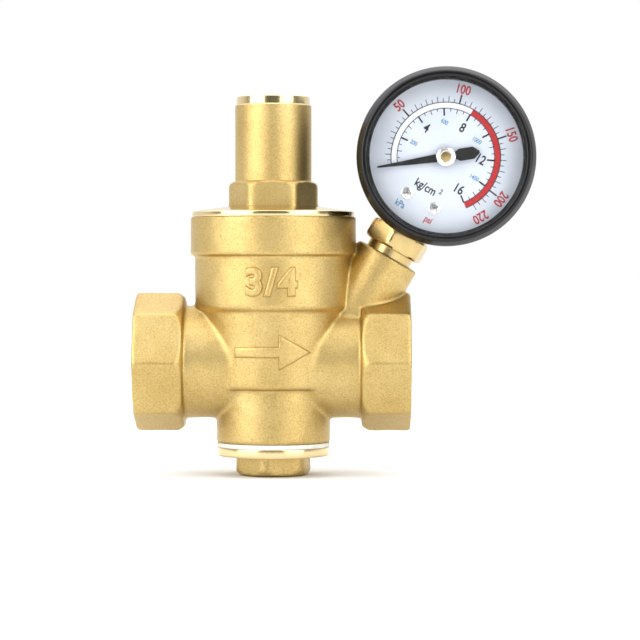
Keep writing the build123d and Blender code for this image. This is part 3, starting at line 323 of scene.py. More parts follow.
CAST = cast_brass()
TURNED = machined_brass()
THREAD = machined_brass("thread_brass", 0.24, (0.70, 0.53, 0.25))
BRONZE = machined_brass("rolled_bronze", 0.3, (0.72, 0.42, 0.22))
ENAMEL = black_enamel()
LENS = lens_glass()
DIAL_WHITE = dial_face()
BLACK_INK = ink("black_ink", (0.012, 0.012, 0.014))
RED_INK = ink("red_ink", (0.42, 0.018, 0.022))
BLUE_INK = ink("blue_ink", (0.06, 0.22, 0.42))
WHITE_INK = ink("white_ink", (0.72, 0.75, 0.80))
BAR_BRASS = machined_brass("bar_brass", 0.28, (0.60, 0.45, 0.20))
SATIN_BLACK = satin_black()
STEEL = bright_steel()
SPRING_STEEL = bright_steel("spring_steel", 0.42, 0.3)
RUBBER = rubber()
GASKET = white_gasket()

# ---------------------------------------------------------------------------------------------
# Making meshes
# ---------------------------------------------------------------------------------------------


def piece(name, points, faces, material, body="valve", slot=None, replaces=(), sharp_deg=40):
    """A mesh object from points in metres, shaded smooth but for its sharp edges, on its body.

    A body given as one name is the one the piece is attached to; any other body leaves the piece attached to
    none, its transform baked in.
    """
    mesh = bpy.data.meshes.new(name)
    mesh.from_pydata([tuple(p) for p in points], [], [tuple(f) for f in faces])
    return finish_piece(name, mesh, material, body, replaces, sharp_deg)


def second_material(obj, material, test):
    """Gives the faces whose middle passes the test, in metres, another material."""
    obj.data.materials.append(material)
    for face in obj.data.polygons:
        if test(face.center):
            face.material_index = 1


def finish_piece(name, mesh, material, body, replaces, sharp_deg=40):
    outward = bmesh.new()
    outward.from_mesh(mesh)
    bmesh.ops.recalc_face_normals(outward, faces=outward.faces)
    outward.to_mesh(mesh)
    outward.free()
    mesh.validate()
    mesh.polygons.foreach_set("use_smooth", [True] * len(mesh.polygons))
    mesh.set_sharp_from_angle(angle=math.radians(sharp_deg))
    mesh.materials.append(material)
    obj = bpy.data.objects.new(name, mesh)
    bpy.context.collection.objects.link(obj)
    if isinstance(body, str):
        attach(obj, body)
    else:
        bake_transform(obj)
    if replaces:
        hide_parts(*replaces)
    return obj


def rounded(points, radius, steps=4, closed=False):
    """The corners of an outline eased by an arc of the given radius, or one radius a corner."""
    count = len(points)
    radii = radius if isinstance(radius, (list, tuple)) else [radius] * count
    out = []
    for n, (x, y) in enumerate(points):
        ends = n in (0, count - 1) and not closed
        if radii[n] <= 0 or ends:
            out.append((x, y))
            continue
        here = Vector((x, y))
        before = Vector(points[n - 1]) - here
        after = Vector(points[(n + 1) % count]) - here
        bend = before.angle(after)
        reach = min(radii[n] / math.tan(bend / 2), before.length * 0.48, after.length * 0.48)
        start = here + before.normalized() * reach
        end = here + after.normalized() * reach
        for step in range(steps + 1):
            t = step / steps
            at = start * (1 - t) ** 2 + here * 2 * t * (1 - t) + end * t ** 2
            out.append((at.x, at.y))
    return out


def grid_faces(rows, columns, wrap_rows=False):
    """Quads over a grid of points whose columns close round."""
    faces = []
    for i in range(rows if wrap_rows else rows - 1):
        a, b = i * columns, ((i + 1) % rows) * columns
        for j in range(columns):
            k = (j + 1) % columns
            faces.append((a + j, a + k, b + k, b + j))
    return faces


def flat_distance(theta, across_flats, turn_deg, sides=6):
    """Distance from the axis to the side of a polygon, at each angle."""
    step = 2 * math.pi / sides
    off = (theta - math.radians(turn_deg) + step / 2) % step - step / 2
    return across_flats / 2 / np.cos(off)


def soft_min(a, b, k):
    h = np.maximum(k - np.abs(a - b), 0) / k
    return np.minimum(a, b) - h * h * k / 4


def turned(name, place, profile, material, hexes=(), segments=SEGMENTS, **more):
    """A closed turned piece: profile is (radius, height) points from one end to the other, or
    round a ring, with a third value where a hexagon of that size across flats limits the radius.
    hexes are (low, high, across flats, turn, corner easing) stretches cut to a hexagon."""
    theta = np.arange(segments) / segments * 2 * math.pi
    ring = profile[0][0] > 0 and profile[-1][0] > 0
    rows, points, faces = [], [], []
    for r, z, *socket in profile:
        radius = np.full(segments, max(r, 1e-3))
        if socket:
            radius = soft_min(radius, flat_distance(theta, socket[0], 30), 0.05)
        for low, high, across, turn_deg, corner in hexes:
            if low - 1e-6 <= z <= high + 1e-6:
                radius = soft_min(radius, flat_distance(theta, across, turn_deg), corner)
        level = np.full(segments, z)
        rows.append(np.stack([radius * np.cos(theta), radius * np.sin(theta), level], 1))
    points = np.vstack(rows)
    faces = grid_faces(len(rows), segments, wrap_rows=ring)
    if not ring:
        last = (len(rows) - 1) * segments
        faces.append(tuple(range(segments)))
        faces.append(tuple(range(last, last + segments)))
    return piece(name, place.points(points), faces, material, **more)


def thread(name, place, start, length, root_r, crest_r, pitch, back_r, material,
           segments=SEGMENTS, **more):
    """A threaded sleeve. root_r is where the thread's valleys lie, crest_r its crests, and back_r
    the plain side, so a nut's thread has back_r outside and a screw's inside."""
    count = int(length / pitch * ROWS_PER_PITCH) + 1
    heights = start + np.linspace(0, length, count)
    theta = np.arange(segments) / segments * 2 * math.pi
    phase = (heights[:, None] / pitch - theta[None, :] / (2 * math.pi)) % 1.0
    wave = np.clip(1.6 * np.abs(2 * phase - 1) - 0.3, 0, 1)
    fade = np.minimum(1, np.minimum(heights - start, start + length - heights) / (0.7 * pitch))
    fade = np.clip(fade, 0, 1)[:, None]
    radius = root_r + (crest_r - root_r) * wave * fade
    levels = np.repeat(heights[:, None], segments, 1)
    rows = np.stack([radius * np.cos(theta), radius * np.sin(theta), levels], 2)
    back = []
    for z in (heights[-1], heights[0]):
        plain = [back_r * np.cos(theta), back_r * np.sin(theta), np.full(segments, z)]
        back.append(np.stack(plain, 1))
    points = np.vstack([rows.reshape(-1, 3), *back])
    faces = grid_faces(count + 2, segments, wrap_rows=True)
    return piece(name, place.points(points), faces, material, **more)


# ---------------------------------------------------------------------------------------------
# Cast valve body: one field of distances, its joints eased as a casting's are
# ---------------------------------------------------------------------------------------------

CELL = 0.42   # of the grid the field is sampled on
MARGIN = 1.6                         # of grid round the body
FAR = 60                             # past any end of the body
FOOT_R = 13.9
MID_R = 17.1                         # at MID_MARK_Z
MID_MARK_Z = 2.8
MID_DRAFT = 0.085                    # gained in radius for each millimetre up
CUP_R = 19.1
CUP_Z = 12.6
BARREL_R = 13.7
PORT_BORE_R = 10.5
PLUG_THREAD_R = 12.02
LOWER_CHAMBER_R = 10.8
UPPER_CHAMBER_R = 11.5
PISTON_BORE_R = 15.0
BONNET_THREAD_R = 18.0
SEAT_R = 6.5
WEB_LOW_Z = -2.0
WEB_TOP_Z = 1.0
WALL_X = 13                          # of the walls that join the web to the barrel
WALL_R = 11.2


def disc_field(radial, along, r, low, high, ease=0.0):
    """Distance to a cylinder from its radial and axial coordinates, its rims eased."""
    a = radial - (r - ease)
    b = np.abs(along - (low + high) / 2) - ((high - low) / 2 - ease)
    outside = np.sqrt(np.maximum(a, 0) ** 2 + np.maximum(b, 0) ** 2)
    return outside + np.minimum(np.maximum(a, b), 0) - ease


def soft_max(a, b, k):
    return -soft_min(-a, -b, k)


def cast_body():
    """Foot, tapered middle, cup and band, barrel, octagons and gauge boss, less the way through."""
    low = np.array([-MARGIN, body_low.y / MM - MARGIN, FOOT_Z - MARGIN])
    high = np.array([body_high.x / MM + MARGIN, BAND_R + MARGIN, RIM_Z + MARGIN])
    counts = np.ceil((high - low) / CELL).astype(int) + 1
    axes = [(low[n] + np.arange(counts[n]) * CELL).astype(np.float32) for n in range(3)]
    x, y, z = np.meshgrid(*axes, indexing="ij")
    across = x - PORT_REACH
    valve_r = np.sqrt(across ** 2 + y ** 2)
    flow_r = np.sqrt(y ** 2 + z ** 2)

    foot = disc_field(valve_r, z, FOOT_R, FOOT_Z, 0, 0.6)
    taper = MID_R + MID_DRAFT * (np.clip(z, -6, 13) - MID_MARK_Z)
    middle = disc_field(valve_r - taper + MID_R, z, MID_R, -6.3, 16.0, 0.95)
    cup = disc_field(valve_r, z, CUP_R, CUP_Z, 30.0, 1.3)
    band = disc_field(valve_r, z, BAND_R, 25.9, RIM_Z + 3, 0.7)
    tower = soft_min(foot, middle, 0.6)
    tower = soft_min(tower, cup, 0.6)
    tower = soft_min(tower, band, 0.5)
    tower = np.maximum(tower, z - RIM_Z)
    barrel = disc_field(flow_r, across, BARREL_R, -24, 24, 1.0)

    # octagonal ends, their corners turned off behind
    octagon = np.full(x.shape, -1e3, np.float32)
    apothem = OCTAGON_R * math.cos(math.pi / 8)
    for n in range(8):
        a = math.pi / 8 + n * math.pi / 4
        octagon = soft_max(octagon, y * math.cos(a) + z * math.sin(a) - apothem, 0.35)
    mouth_side = np.abs(across)
    octagon_start = PORT_REACH - OCTAGON_LENGTH
    ends = np.abs(mouth_side - (PORT_REACH - OCTAGON_LENGTH / 2)) - OCTAGON_LENGTH / 2
    inner_turn = (flow_r - OCTAGON_R + 0.15) * 0.8 - (mouth_side - octagon_start - 1.5) * 0.6
    outer_turn = (flow_r - OCTAGON_R + 0.25) * 0.7 + (mouth_side - PORT_REACH + 0.35) * 0.7
    octagon = soft_max(octagon, ends, 0.5)
    octagon = soft_max(octagon, inner_turn, 0.5)
    octagon = soft_max(octagon, outer_turn, 0.25)

    # gauge boss
    from_mouth = [x - GAUGE_MOUTH.x, z - GAUGE_MOUTH.z]
    boss_up = from_mouth[0] * math.sin(LEAN) + from_mouth[1] * math.cos(LEAN)
    boss_side = from_mouth[0] * math.cos(LEAN) - from_mouth[1] * math.sin(LEAN)
    boss_r = np.sqrt(boss_side ** 2 + y ** 2)
    boss = disc_field(boss_r, boss_up, 8.0, -22, 0, 0.5)

    solid = soft_min(tower, barrel, 0.75)
    solid = soft_min(solid, octagon, 0.75)
    solid = soft_min(solid, boss, 0.8)
    solid = np.maximum(solid, z - RIM_Z)

    # slow unevenness of a sand casting
    uneven = np.sin(x * 0.9 + 1.3 * np.sin(z * 0.5)) * np.sin(y * 0.8 + 2.1) * np.sin(z * 0.85 + 0.7)
    solid = solid + 0.045 * uneven

    # the way through: bores, chambers and the seat web between them
    thread_end = PORT_REACH - PORT_THREAD_LENGTH
    bore = disc_field(flow_r, across, PORT_BORE_R, -FAR, FAR)
    port = disc_field(flow_r, mouth_side, PORT_THREAD_R + 0.02, thread_end, FAR)
    cone = (flow_r - PORT_THREAD_R) * 0.7 - (mouth_side - thread_end) * 0.7
    run_out = np.maximum(flow_r - PORT_THREAD_R, thread_end - 2.5 - mouth_side)
    hollow = np.minimum(bore, np.maximum(cone, run_out))
    hollow = np.minimum(hollow, port)
    for r, bottom, top in (
        (PLUG_THREAD_R, -FAR, FOOT_Z + 7),
        (LOWER_CHAMBER_R, -FAR, WEB_LOW_Z),
        (UPPER_CHAMBER_R, WEB_TOP_Z, 20),
        (PISTON_BORE_R, 13.0, 30),
        (BONNET_THREAD_R, 26.0, FAR),
    ):
        hollow = np.minimum(hollow, disc_field(valve_r, z, r, bottom, top))
    web = disc_field(np.maximum(np.abs(across) - 3, np.abs(y)), z, UPPER_CHAMBER_R, WEB_LOW_Z, WEB_TOP_Z)
    wall_in = np.maximum(np.maximum(np.abs(across + WALL_X) - 1.5, flow_r - WALL_R), -z - 0.2)
    wall_out = np.maximum(np.maximum(np.abs(across - WALL_X) - 1.5, flow_r - WALL_R), z - 0.2)
    lip = disc_field(valve_r, z, 8.0, WEB_LOW_Z - 1, 0)
    web = np.minimum(np.minimum(web, wall_in), np.minimum(wall_out, lip))
    web = np.maximum(web, SEAT_R - valve_r)
    hollow = soft_max(hollow, -web, 0.6)
    gauge_bore = disc_field(boss_r, boss_up, 6.6, -9.3, 30)
    passage = disc_field(boss_r, boss_up, 1.5, -18.5, 0)
    hollow = np.minimum(hollow, np.minimum(gauge_bore, passage))
    solid = soft_max(solid, -hollow, 0.3)

    limit = 3 * CELL
    grid = vdb.FloatGrid(background=limit)
    grid.copyFromArray(np.clip(solid, -limit, limit).astype(np.float32))
    points, triangles, quads = grid.convertToPolygons(0.0, 0.0)
    points = points * CELL + low
    faces = [tuple(q[::-1]) for q in quads.tolist()] + [tuple(t[::-1]) for t in triangles.tolist()]
    return piece("cast_body", points * MM, faces, CAST, slot="cast_brass",
                 replaces=("valve_body",), sharp_deg=55)


cast_body()

# ---------------------------------------------------------------------------------------------
# Raised marks on the casting: a thread size on the cup and a flow arrow on the middle
# ---------------------------------------------------------------------------------------------

MARK_DEPTH = 0.3                     # sunk in the casting
MARK_HEIGHT = 0.68                   # its rounded edge, above the casting
MARK_CUT = 0.9                       # width of the strips it bends in


def flat_text(text, size):
    curve = bpy.data.curves.new("mark", "FONT")
    curve.body = text
    curve.size = size
    curve.align_x = "CENTER"
    curve.align_y = "CENTER"
    curve.space_character = 1.16
    curve.offset = -size * 0.012
    return curve


def flat_arrow(length, height):
    half = length / 2
    shaft = height * 0.1
    head = height * 0.95
    corners = [(-half, -shaft), (half - head, -shaft), (half - head, -height / 2), (half, 0),
               (half - head, height / 2), (half - head, shaft), (-half, shaft)]
    return flat_shape(corners)


def flat_shape(corners):
    curve = bpy.data.curves.new("mark", "CURVE")
    curve.dimensions = "2D"
    curve.fill_mode = "BOTH"
    spline = curve.splines.new("POLY")
    spline.points.add(len(corners) - 1)
    for point, (x, y) in zip(spline.points, corners):
        point.co = (x, y, 0, 1)
    spline.use_cyclic_u = True
    return curve


def curve_mesh(curve):
    """The mesh a curve makes. The curve's own object goes again."""
    holder = bpy.data.objects.new("mark", curve)
    bpy.context.collection.objects.link(holder)
    shown = holder.evaluated_get(bpy.context.evaluated_depsgraph_get())
    mesh = bpy.data.meshes.new_from_object(shown)
    bpy.data.objects.remove(holder)
    return mesh


def mark(name, curve, r, height, draft=0.0):
    """A flat outline given thickness and eased edges, then wrapped on the casting's front."""
    curve.extrude = MARK_DEPTH
    curve.bevel_depth = MARK_HEIGHT
    curve.bevel_resolution = 4
    curve.resolution_u = 6
    mesh = curve_mesh(curve)
    bm = bmesh.new()
    bm.from_mesh(mesh)
    bmesh.ops.remove_doubles(bm, verts=bm.verts, dist=1e-4)
    for cut in range(-11, 12):
        geometry = bm.verts[:] + bm.edges[:] + bm.faces[:]
        bmesh.ops.bisect_plane(bm, geom=geometry, plane_co=(cut * MARK_CUT, 0, 0), plane_no=(1, 0, 0))
    bmesh.ops.triangulate(bm, faces=bm.faces)
    bm.verts.index_update()
    points = []
    for v in bm.verts:
        surface = r + draft * v.co.y
        reach = surface + v.co.z - MARK_DEPTH
        turn = v.co.x / surface
        points.append((PORT_REACH + reach * math.sin(turn), -reach * math.cos(turn), height + v.co.y))
    faces = [[v.index for v in f.verts] for f in bm.faces]
    bm.free()
    return piece(name, np.array(points) * MM, faces, CAST, slot="cast_brass", sharp_deg=50)


mark("size_mark", flat_text("3/4", 8.6), CUP_R, 19.3)
mark("flow_arrow", flat_arrow(17.0, 6.4), MID_R, MID_MARK_Z, draft=MID_DRAFT)

# machined threads in both mouths
for name, place in (("inlet_thread", INLET), ("outlet_thread", OUTLET)):
    thread(name, place, 0.7, PORT_THREAD_LENGTH - 0.9, PORT_THREAD_R - 0.05, PORT_THREAD_R - 1.16, G34_PITCH,
           PORT_THREAD_R + 0.6, THREAD, slot="machined_brass", sharp_deg=60)

# ---------------------------------------------------------------------------------------------
# Bonnet, adjusting screw, bottom plug
# ---------------------------------------------------------------------------------------------

FLANGE_TOP_Z = 36.5
HEX_Z = 38.4
HEX_TOP_Z = 44.0
TUBE_R = 9.3
TUBE_RING_Z = 62.5
TUBE_TOP_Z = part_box("bonnet")[1].z / MM
SKIRT_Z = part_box("bonnet")[0].z / MM


def spaced(start, end, count):
    return [start + (end - start) * n / (count - 1) for n in range(count)]


def bonnet():
    outer = rounded(
        [(7.32, SKIRT_Z), (17.9, SKIRT_Z), (17.9, RIM_Z), (19.8, RIM_Z), (19.8, FLANGE_TOP_Z),
         (19.3, FLANGE_TOP_Z + 0.25), (12.2, 37.75), (11.6, 37.85)],
        [0, 0.3, 0, 0.18, 0.22, 0.4, 0.5, 0], steps=3,
    )
    turned_r = 10.85
    hex_rows = [(turned_r + 0.45, 37.92), (turned_r + 0.1, HEX_Z - 0.25), (turned_r, HEX_Z)]
    hex_rows += [(turned_r, z) for z in spaced(HEX_Z + 0.6, HEX_TOP_Z - 1.5, 6)]
    hex_rows += [(turned_r - 0.12, HEX_TOP_Z - 0.9), (turned_r - 0.5, HEX_TOP_Z - 0.45),
                 (turned_r - 1.1, HEX_TOP_Z - 0.12), (TUBE_R + 0.25, HEX_TOP_Z)]
    tube = rounded(
        [(TUBE_R, HEX_TOP_Z + 0.1), (TUBE_R, TUBE_RING_Z), (8.9, TUBE_RING_Z + 0.15),
         (8.9, TUBE_TOP_Z), (8.3, TUBE_TOP_Z), (8.02, TUBE_TOP_Z - 0.4), (8.02, 45.0),
         (7.32, 44.2), (7.32, 36.4), (15.6, 33.0), (15.6, SKIRT_Z)],
        [0, 0.35, 0.15, 0.35, 0.1, 0, 0, 0, 0, 0, 0], steps=3,
    )
    obj = turned(
        "bonnet_turned", VALVE, outer + hex_rows + tube, TURNED, segments=192,
        hexes=[(37.91, HEX_TOP_Z - 0.001, 19.5, 30, 0.5)],
        slot="machined_brass", replaces=("bonnet",), sharp_deg=32,
    )

    def as_cast(at):
        away = math.hypot(at.x / MM - PORT_REACH, at.y / MM)
        return 37.86 < at.z / MM < TUBE_RING_Z - 0.1 and away > 8.6

    second_material(obj, CAST, as_cast)


bonnet()
thread("tube_thread", VALVE, 45.0, TUBE_TOP_Z - 45.9, 8.0, 7.15, M16_PITCH, 8.35, THREAD,
       segments=96, slot="machined_brass", sharp_deg=60)


def bottom_plug():
    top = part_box("bottom_plug")[1].z / MM
    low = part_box("bottom_plug")[0].z / MM
    flange_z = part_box("bottom_gasket")[0].z / MM
    flange_low = -22.9
    turned_r = 9.35
    rows = [(0.0, low), (6.5, low), (7.9, low), (8.35, low + 0.12), (8.9, low + 0.45),
            (turned_r - 0.1, low + 0.9)]
    rows += [(turned_r, z) for z in spaced(low + 1.4, flange_low - 0.3, 5)]
    rows += [(turned_r, flange_low - 0.02)]
    flange = rounded(
        [(turned_r, flange_low), (13.8, flange_low), (13.8, flange_z), (11.96, flange_z),
         (11.96, top), (9.9, top), (9.9, -19.2), (4.6, -19.2), (4.6, -14.6), (3.05, -14.6),
         (3.05, -19.6), (0.0, -19.6)],
        [0, 0.5, 0.2, 0, 0.3, 0, 0, 0, 0, 0, 0, 0], steps=4,
    )
    obj = turned(
        "plug_turned", VALVE, rows + flange, TURNED, segments=192,
        hexes=[(low - 0.01, flange_low - 0.01, 17.0, -90 + 18.6, 0.35)],
        slot="machined_brass", replaces=("bottom_plug",), sharp_deg=32,
    )
    second_material(obj, CAST, lambda at: at.z / MM < flange_low - 0.02)


bottom_plug()


def gasket():
    low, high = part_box("bottom_gasket")
    r = high.y / MM
    inside = PLUG_THREAD_R
    outline = rounded([(inside, low.z / MM), (r, low.z / MM), (r, high.z / MM), (inside, high.z / MM)],
                      0.3, closed=True)
    return turned("gasket_ring", VALVE, outline, GASKET, slot="white_gasket",
                  replaces=("bottom_gasket",))


gasket()

# ---------------------------------------------------------------------------------------------
# Gauge
# ---------------------------------------------------------------------------------------------

BEZEL_R = (bezel_high.z - bezel_low.z) / 2 / MM
BEZEL_FRONT = -BEZEL_FRONT_Y
BEZEL_BACK = -bezel_high.y / MM
CASE_R = 20.3
CASE_BACK = -GAUGE_BACK_Y
WINDOW_R = 18.35
LENS_BACK = -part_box("gauge_lens")[1].y / MM
LENS_FRONT = -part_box("gauge_lens")[0].y / MM
DIAL_FRONT = -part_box("gauge_dial")[0].y / MM


def gauge_shell():
    bezel = rounded(
        [(CASE_R, BEZEL_BACK), (BEZEL_R - 0.4, BEZEL_BACK), (BEZEL_R, BEZEL_BACK + 0.8),
         (BEZEL_R, BEZEL_FRONT - 2.4), (BEZEL_R - 1.2, BEZEL_FRONT), (BEZEL_R - 2.3, BEZEL_FRONT),
         (WINDOW_R, LENS_FRONT + 0.5), (WINDOW_R, LENS_FRONT), (CASE_R, LENS_FRONT)],
        [0, 0.3, 0.6, 1.4, 1.0, 0.7, 0.2, 0, 0], steps=6,
    )
    turned("bezel_ring", DIAL, bezel, ENAMEL, segments=192, slot="black_enamel",
           replaces=("gauge_bezel",), sharp_deg=60)
    front = -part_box("gauge_case")[0].y / MM
    case = rounded(
        [(0.0, CASE_BACK), (13.5, CASE_BACK), (14.2, CASE_BACK + 0.35), (16.0, CASE_BACK + 0.35),
         (16.7, CASE_BACK), (CASE_R, CASE_BACK), (CASE_R, front), (CASE_R - 0.6, front),
         (CASE_R - 0.6, CASE_BACK + 0.6), (0.0, CASE_BACK + 0.6)],
        [0, 0.4, 0.4, 0.4, 0.4, 2.0, 0.1, 0.1, 1.4, 0], steps=6,
    )
    turned("case_cup", DIAL, case, ENAMEL, segments=192, slot="black_enamel",
           replaces=("gauge_case",), sharp_deg=60)
    edge = CASE_R - 0.1
    lens = rounded([(0.0, LENS_BACK), (edge, LENS_BACK), (edge, LENS_FRONT), (0.0, LENS_FRONT)],
                   [0, 0.15, 0.15, 0])
    turned("lens_pane", DIAL, lens, LENS, slot="lens_glass", replaces=("gauge_lens",))


gauge_shell()


def gauge_stem():
    """Hexagon, neck and thread, and inside the case the foot, block and posts."""
    rows = [(0.0, -36.4), (2.3, -36.4), (2.6, -36.1), (2.6, -35.4), (5.6, -35.4), (6.5, -34.6),
            (6.5, -28.3), (5.85, -27.8), (5.85, -25.62), (6.6, -25.6)]
    turned_r = 7.85
    rows += [(7.1, -25.45), (7.6, -25.1), (turned_r, -24.6)]
    rows += [(turned_r, z) for z in spaced(-24.2, -21.6, 5)]
    rows += [(7.7, -21.1), (7.2, -20.7), (6.7, -20.55), (5.1, -20.5), (5.1, -15.6), (0.0, -15.6)]
    turned("gauge_stem", STEM, rows, BAR_BRASS, segments=144, hexes=[(-25.61, -20.54, 14.0, 47.8, 0.3)],
           slot="machined_brass", replaces=("gauge_socket",), sharp_deg=32)


gauge_stem()


def flat_print(name, shapes, material, height=0.02, slot="dial_face"):
    """Ink on the dial: closed outlines, in the dial's own frame, as one thin raised mesh."""
    points, faces = [], []
    for outline in shapes:
        count = len(outline)
        base = len(points)
        points += [(x, y, DIAL_FRONT) for x, y in outline]
        points += [(x, y, DIAL_FRONT + height) for x, y in outline]
        faces.append(tuple(range(base, base + count)))
        faces.append(tuple(range(base + count, base + 2 * count)))
        for n in range(count):
            m = (n + 1) % count
            faces.append((base + n, base + m, base + count + m, base + count + n))
    return piece(name, DIAL.points(points), faces, material, slot=slot)


def arc_band(r_in, r_out, start_deg, end_deg, step_deg=3.0):
    count = max(2, int(abs(end_deg - start_deg) / step_deg) + 1)
    angles = [math.radians(a) for a in spaced(start_deg, end_deg, count)]
    outer = [(r_out * math.cos(a), r_out * math.sin(a)) for a in angles]
    inner = [(r_in * math.cos(a), r_in * math.sin(a)) for a in reversed(angles)]
    return outer + inner


def tick(deg, r_in, r_out, width):
    a = math.radians(deg)
    along = (math.cos(a), math.sin(a))
    side = (-along[1] * width / 2, along[0] * width / 2)
    return [(along[0] * r + s * side[0], along[1] * r + s * side[1]) for r, s in
            ((r_in, -1), (r_out, -1), (r_out, 1), (r_in, 1))]


ZERO_DEG = 218.5
FULL_DEG = -38.5
FULL_SCALE = 16.0                    # kg/cm2
PSI_PER_UNIT = 14.2233
RED_FROM = 8
PRINT_HALF = 0.012                   # half the thickness of a printed letter
RING_R = 13.05                       # outer edge of the coloured band
RING_IN_R = 11.8


def scale_deg(value):
    return ZERO_DEG + (FULL_DEG - ZERO_DEG) * value / FULL_SCALE


def print_text(name, words, material, slot="dial_face", weight=0.022, squeeze=0.8):
    """Small print: (text, size, x, y, turn in degrees) each, as one thin mesh."""
    bm = bmesh.new()
    for text, size, x, y, turn_deg in words:
        curve = bpy.data.curves.new(name, "FONT")
        curve.body = text
        curve.size = size
        curve.align_x = "CENTER"
        curve.align_y = "CENTER"
        curve.extrude = PRINT_HALF
        curve.offset = weight * size
        curve.resolution_u = 4
        mesh = curve_mesh(curve)
        mesh.transform(Matrix.Translation((x, y, DIAL_FRONT + PRINT_HALF))
                       @ Matrix.Rotation(math.radians(turn_deg), 4, "Z")
                       @ Matrix.Diagonal((squeeze, 1, 1, 1)))
        bm.from_mesh(mesh)
    points = DIAL.points(np.array([v.co for v in bm.verts]))
    bm.verts.index_update()
    faces = [[v.index for v in f.verts] for f in bm.faces]
    bm.free()
    return piece(name, points, faces, material, slot=slot)


def dial():
    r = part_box("gauge_dial")
    disc_r = (r[1].z - r[0].z) / 2 / MM
    back = -r[1].y / MM
    plate = rounded([(1.2, back), (disc_r, back), (disc_r, DIAL_FRONT), (1.2, DIAL_FRONT)], 0.08, closed=True)
    turned("dial_plate", DIAL, plate, DIAL_WHITE, segments=192, slot="dial_face", replaces=("gauge_dial",))

    black = [arc_band(RING_R, 13.27, ZERO_DEG, FULL_DEG), arc_band(11.6, RING_IN_R, ZERO_DEG, FULL_DEG)]
    for n in range(45):
        psi = n * 5
        reach = 15.4 if psi % 50 == 0 else 14.6 if psi % 10 == 0 else 14.1
        black.append(tick(scale_deg(psi / PSI_PER_UNIT), 13.1, reach, 0.38 if psi % 50 == 0 else 0.18))
    for n in range(33):
        reach = 9.9 if n % 4 == 0 else 10.6 if n % 2 == 0 else 11.0
        black.append(tick(scale_deg(n / 2), reach, RING_IN_R, 0.4 if n % 4 == 0 else 0.18))
    flat_print("dial_black_lines", black, BLACK_INK, 0.022)
    red_band = arc_band(RING_IN_R, RING_R, scale_deg(RED_FROM), FULL_DEG)
    white_band = arc_band(RING_IN_R, RING_R, ZERO_DEG, scale_deg(RED_FROM))
    flat_print("dial_red_band", [red_band], RED_INK, 0.016)
    flat_print("dial_white_band", [white_band], WHITE_INK, 0.016)

    digits = []
    for value in (4, 8, 12, 16):
        a = math.radians(scale_deg(value))
        r_text = 8.0 if value == 8 else 8.3
        digits.append((str(value), 3.2, r_text * math.cos(a), r_text * math.sin(a), 0))
    digits.append(("kg/cm", 2.9, -0.6, -8.7, 0))
    digits.append(("2", 1.8, 3.2, -7.9, 0))
    print_text("dial_black_digits", digits, BLACK_INK)
    red = []
    for psi in (50, 100, 150, 200, 220):
        deg = scale_deg(psi / PSI_PER_UNIT)
        a = math.radians(deg)
        red.append((str(psi), 3.1, 16.6 * math.cos(a), 16.6 * math.sin(a), deg - 90))
    red.append(("psi", 2.2, 3.9, -15.2, 0))
    print_text("dial_red_digits", red, RED_INK)
    blue = [("kPa", 2.2, -3.9, -15.2, 0)]
    for value in (2, 6, 10, 14):
        a = math.radians(scale_deg(value))
        blue.append((str(value * 100), 1.5, 8.4 * math.cos(a), 8.4 * math.sin(a), 0))
    print_text("dial_blue_digits", blue, BLUE_INK)


dial()


def cross_head(centre, seat_z, radius, height, outward, turn_deg):
    """A domed screw head with a cross recess, on a plane of the dial's frame."""
    rings, spokes = 16, 64
    turn = math.radians(turn_deg)
    points, faces = [], []
    for ring in range(rings + 1):
        r = radius * ring / rings
        for spoke in range(spokes):
            a = 2 * math.pi * spoke / spokes
            x, y = r * math.cos(a), r * math.sin(a)
            u = x * math.cos(turn) + y * math.sin(turn)
            v = y * math.cos(turn) - x * math.sin(turn)
            dome = height * (1 - 0.55 * (r / radius) ** 2)
            narrow = min(abs(u), abs(v)) / (0.17 * radius)
            long = max(abs(u), abs(v)) / (0.68 * radius)
            inside = max(0.0, min(1.0, 2.2 - 1.6 * narrow)) * max(0.0, min(1.0, 6 * (1 - long)))
            recess = 0.5 * height * inside
            points.append((centre[0] + x, centre[1] + y, seat_z + outward * (dome - recess)))
    for spoke in range(spokes):
        a = 2 * math.pi * spoke / spokes
        points.append((centre[0] + radius * math.cos(a), centre[1] + radius * math.sin(a),
                       seat_z - outward * 0.3))
    faces = grid_faces(rings + 2, spokes)
    faces.append(tuple(range((rings + 1) * spokes, (rings + 2) * spokes)))
    return points, faces


def screw_pair(name, node, places, seat_z, radius, height, outward):
    points, faces = [], []
    for place, turn_deg in zip(places, (20, 65)):
        some, more = cross_head(place, seat_z, radius, height, outward, turn_deg)
        faces += [tuple(i + len(points) for i in face) for face in more]
        points += some
    return piece(name, DIAL.points(points), faces, STEEL, slot="bright_steel",
                 replaces=(node,), sharp_deg=35)


screw_pair("dial_screw_heads", "dial_screws", ((-3.75, -12.1), (3.75, -12.1)), DIAL_FRONT, 1.5, 0.5, 1)
screw_pair("case_screw_heads", "case_screws", ((-3.2, -14.5), (3.2, -14.5)), CASE_BACK, 2.0, 1.15, -1)


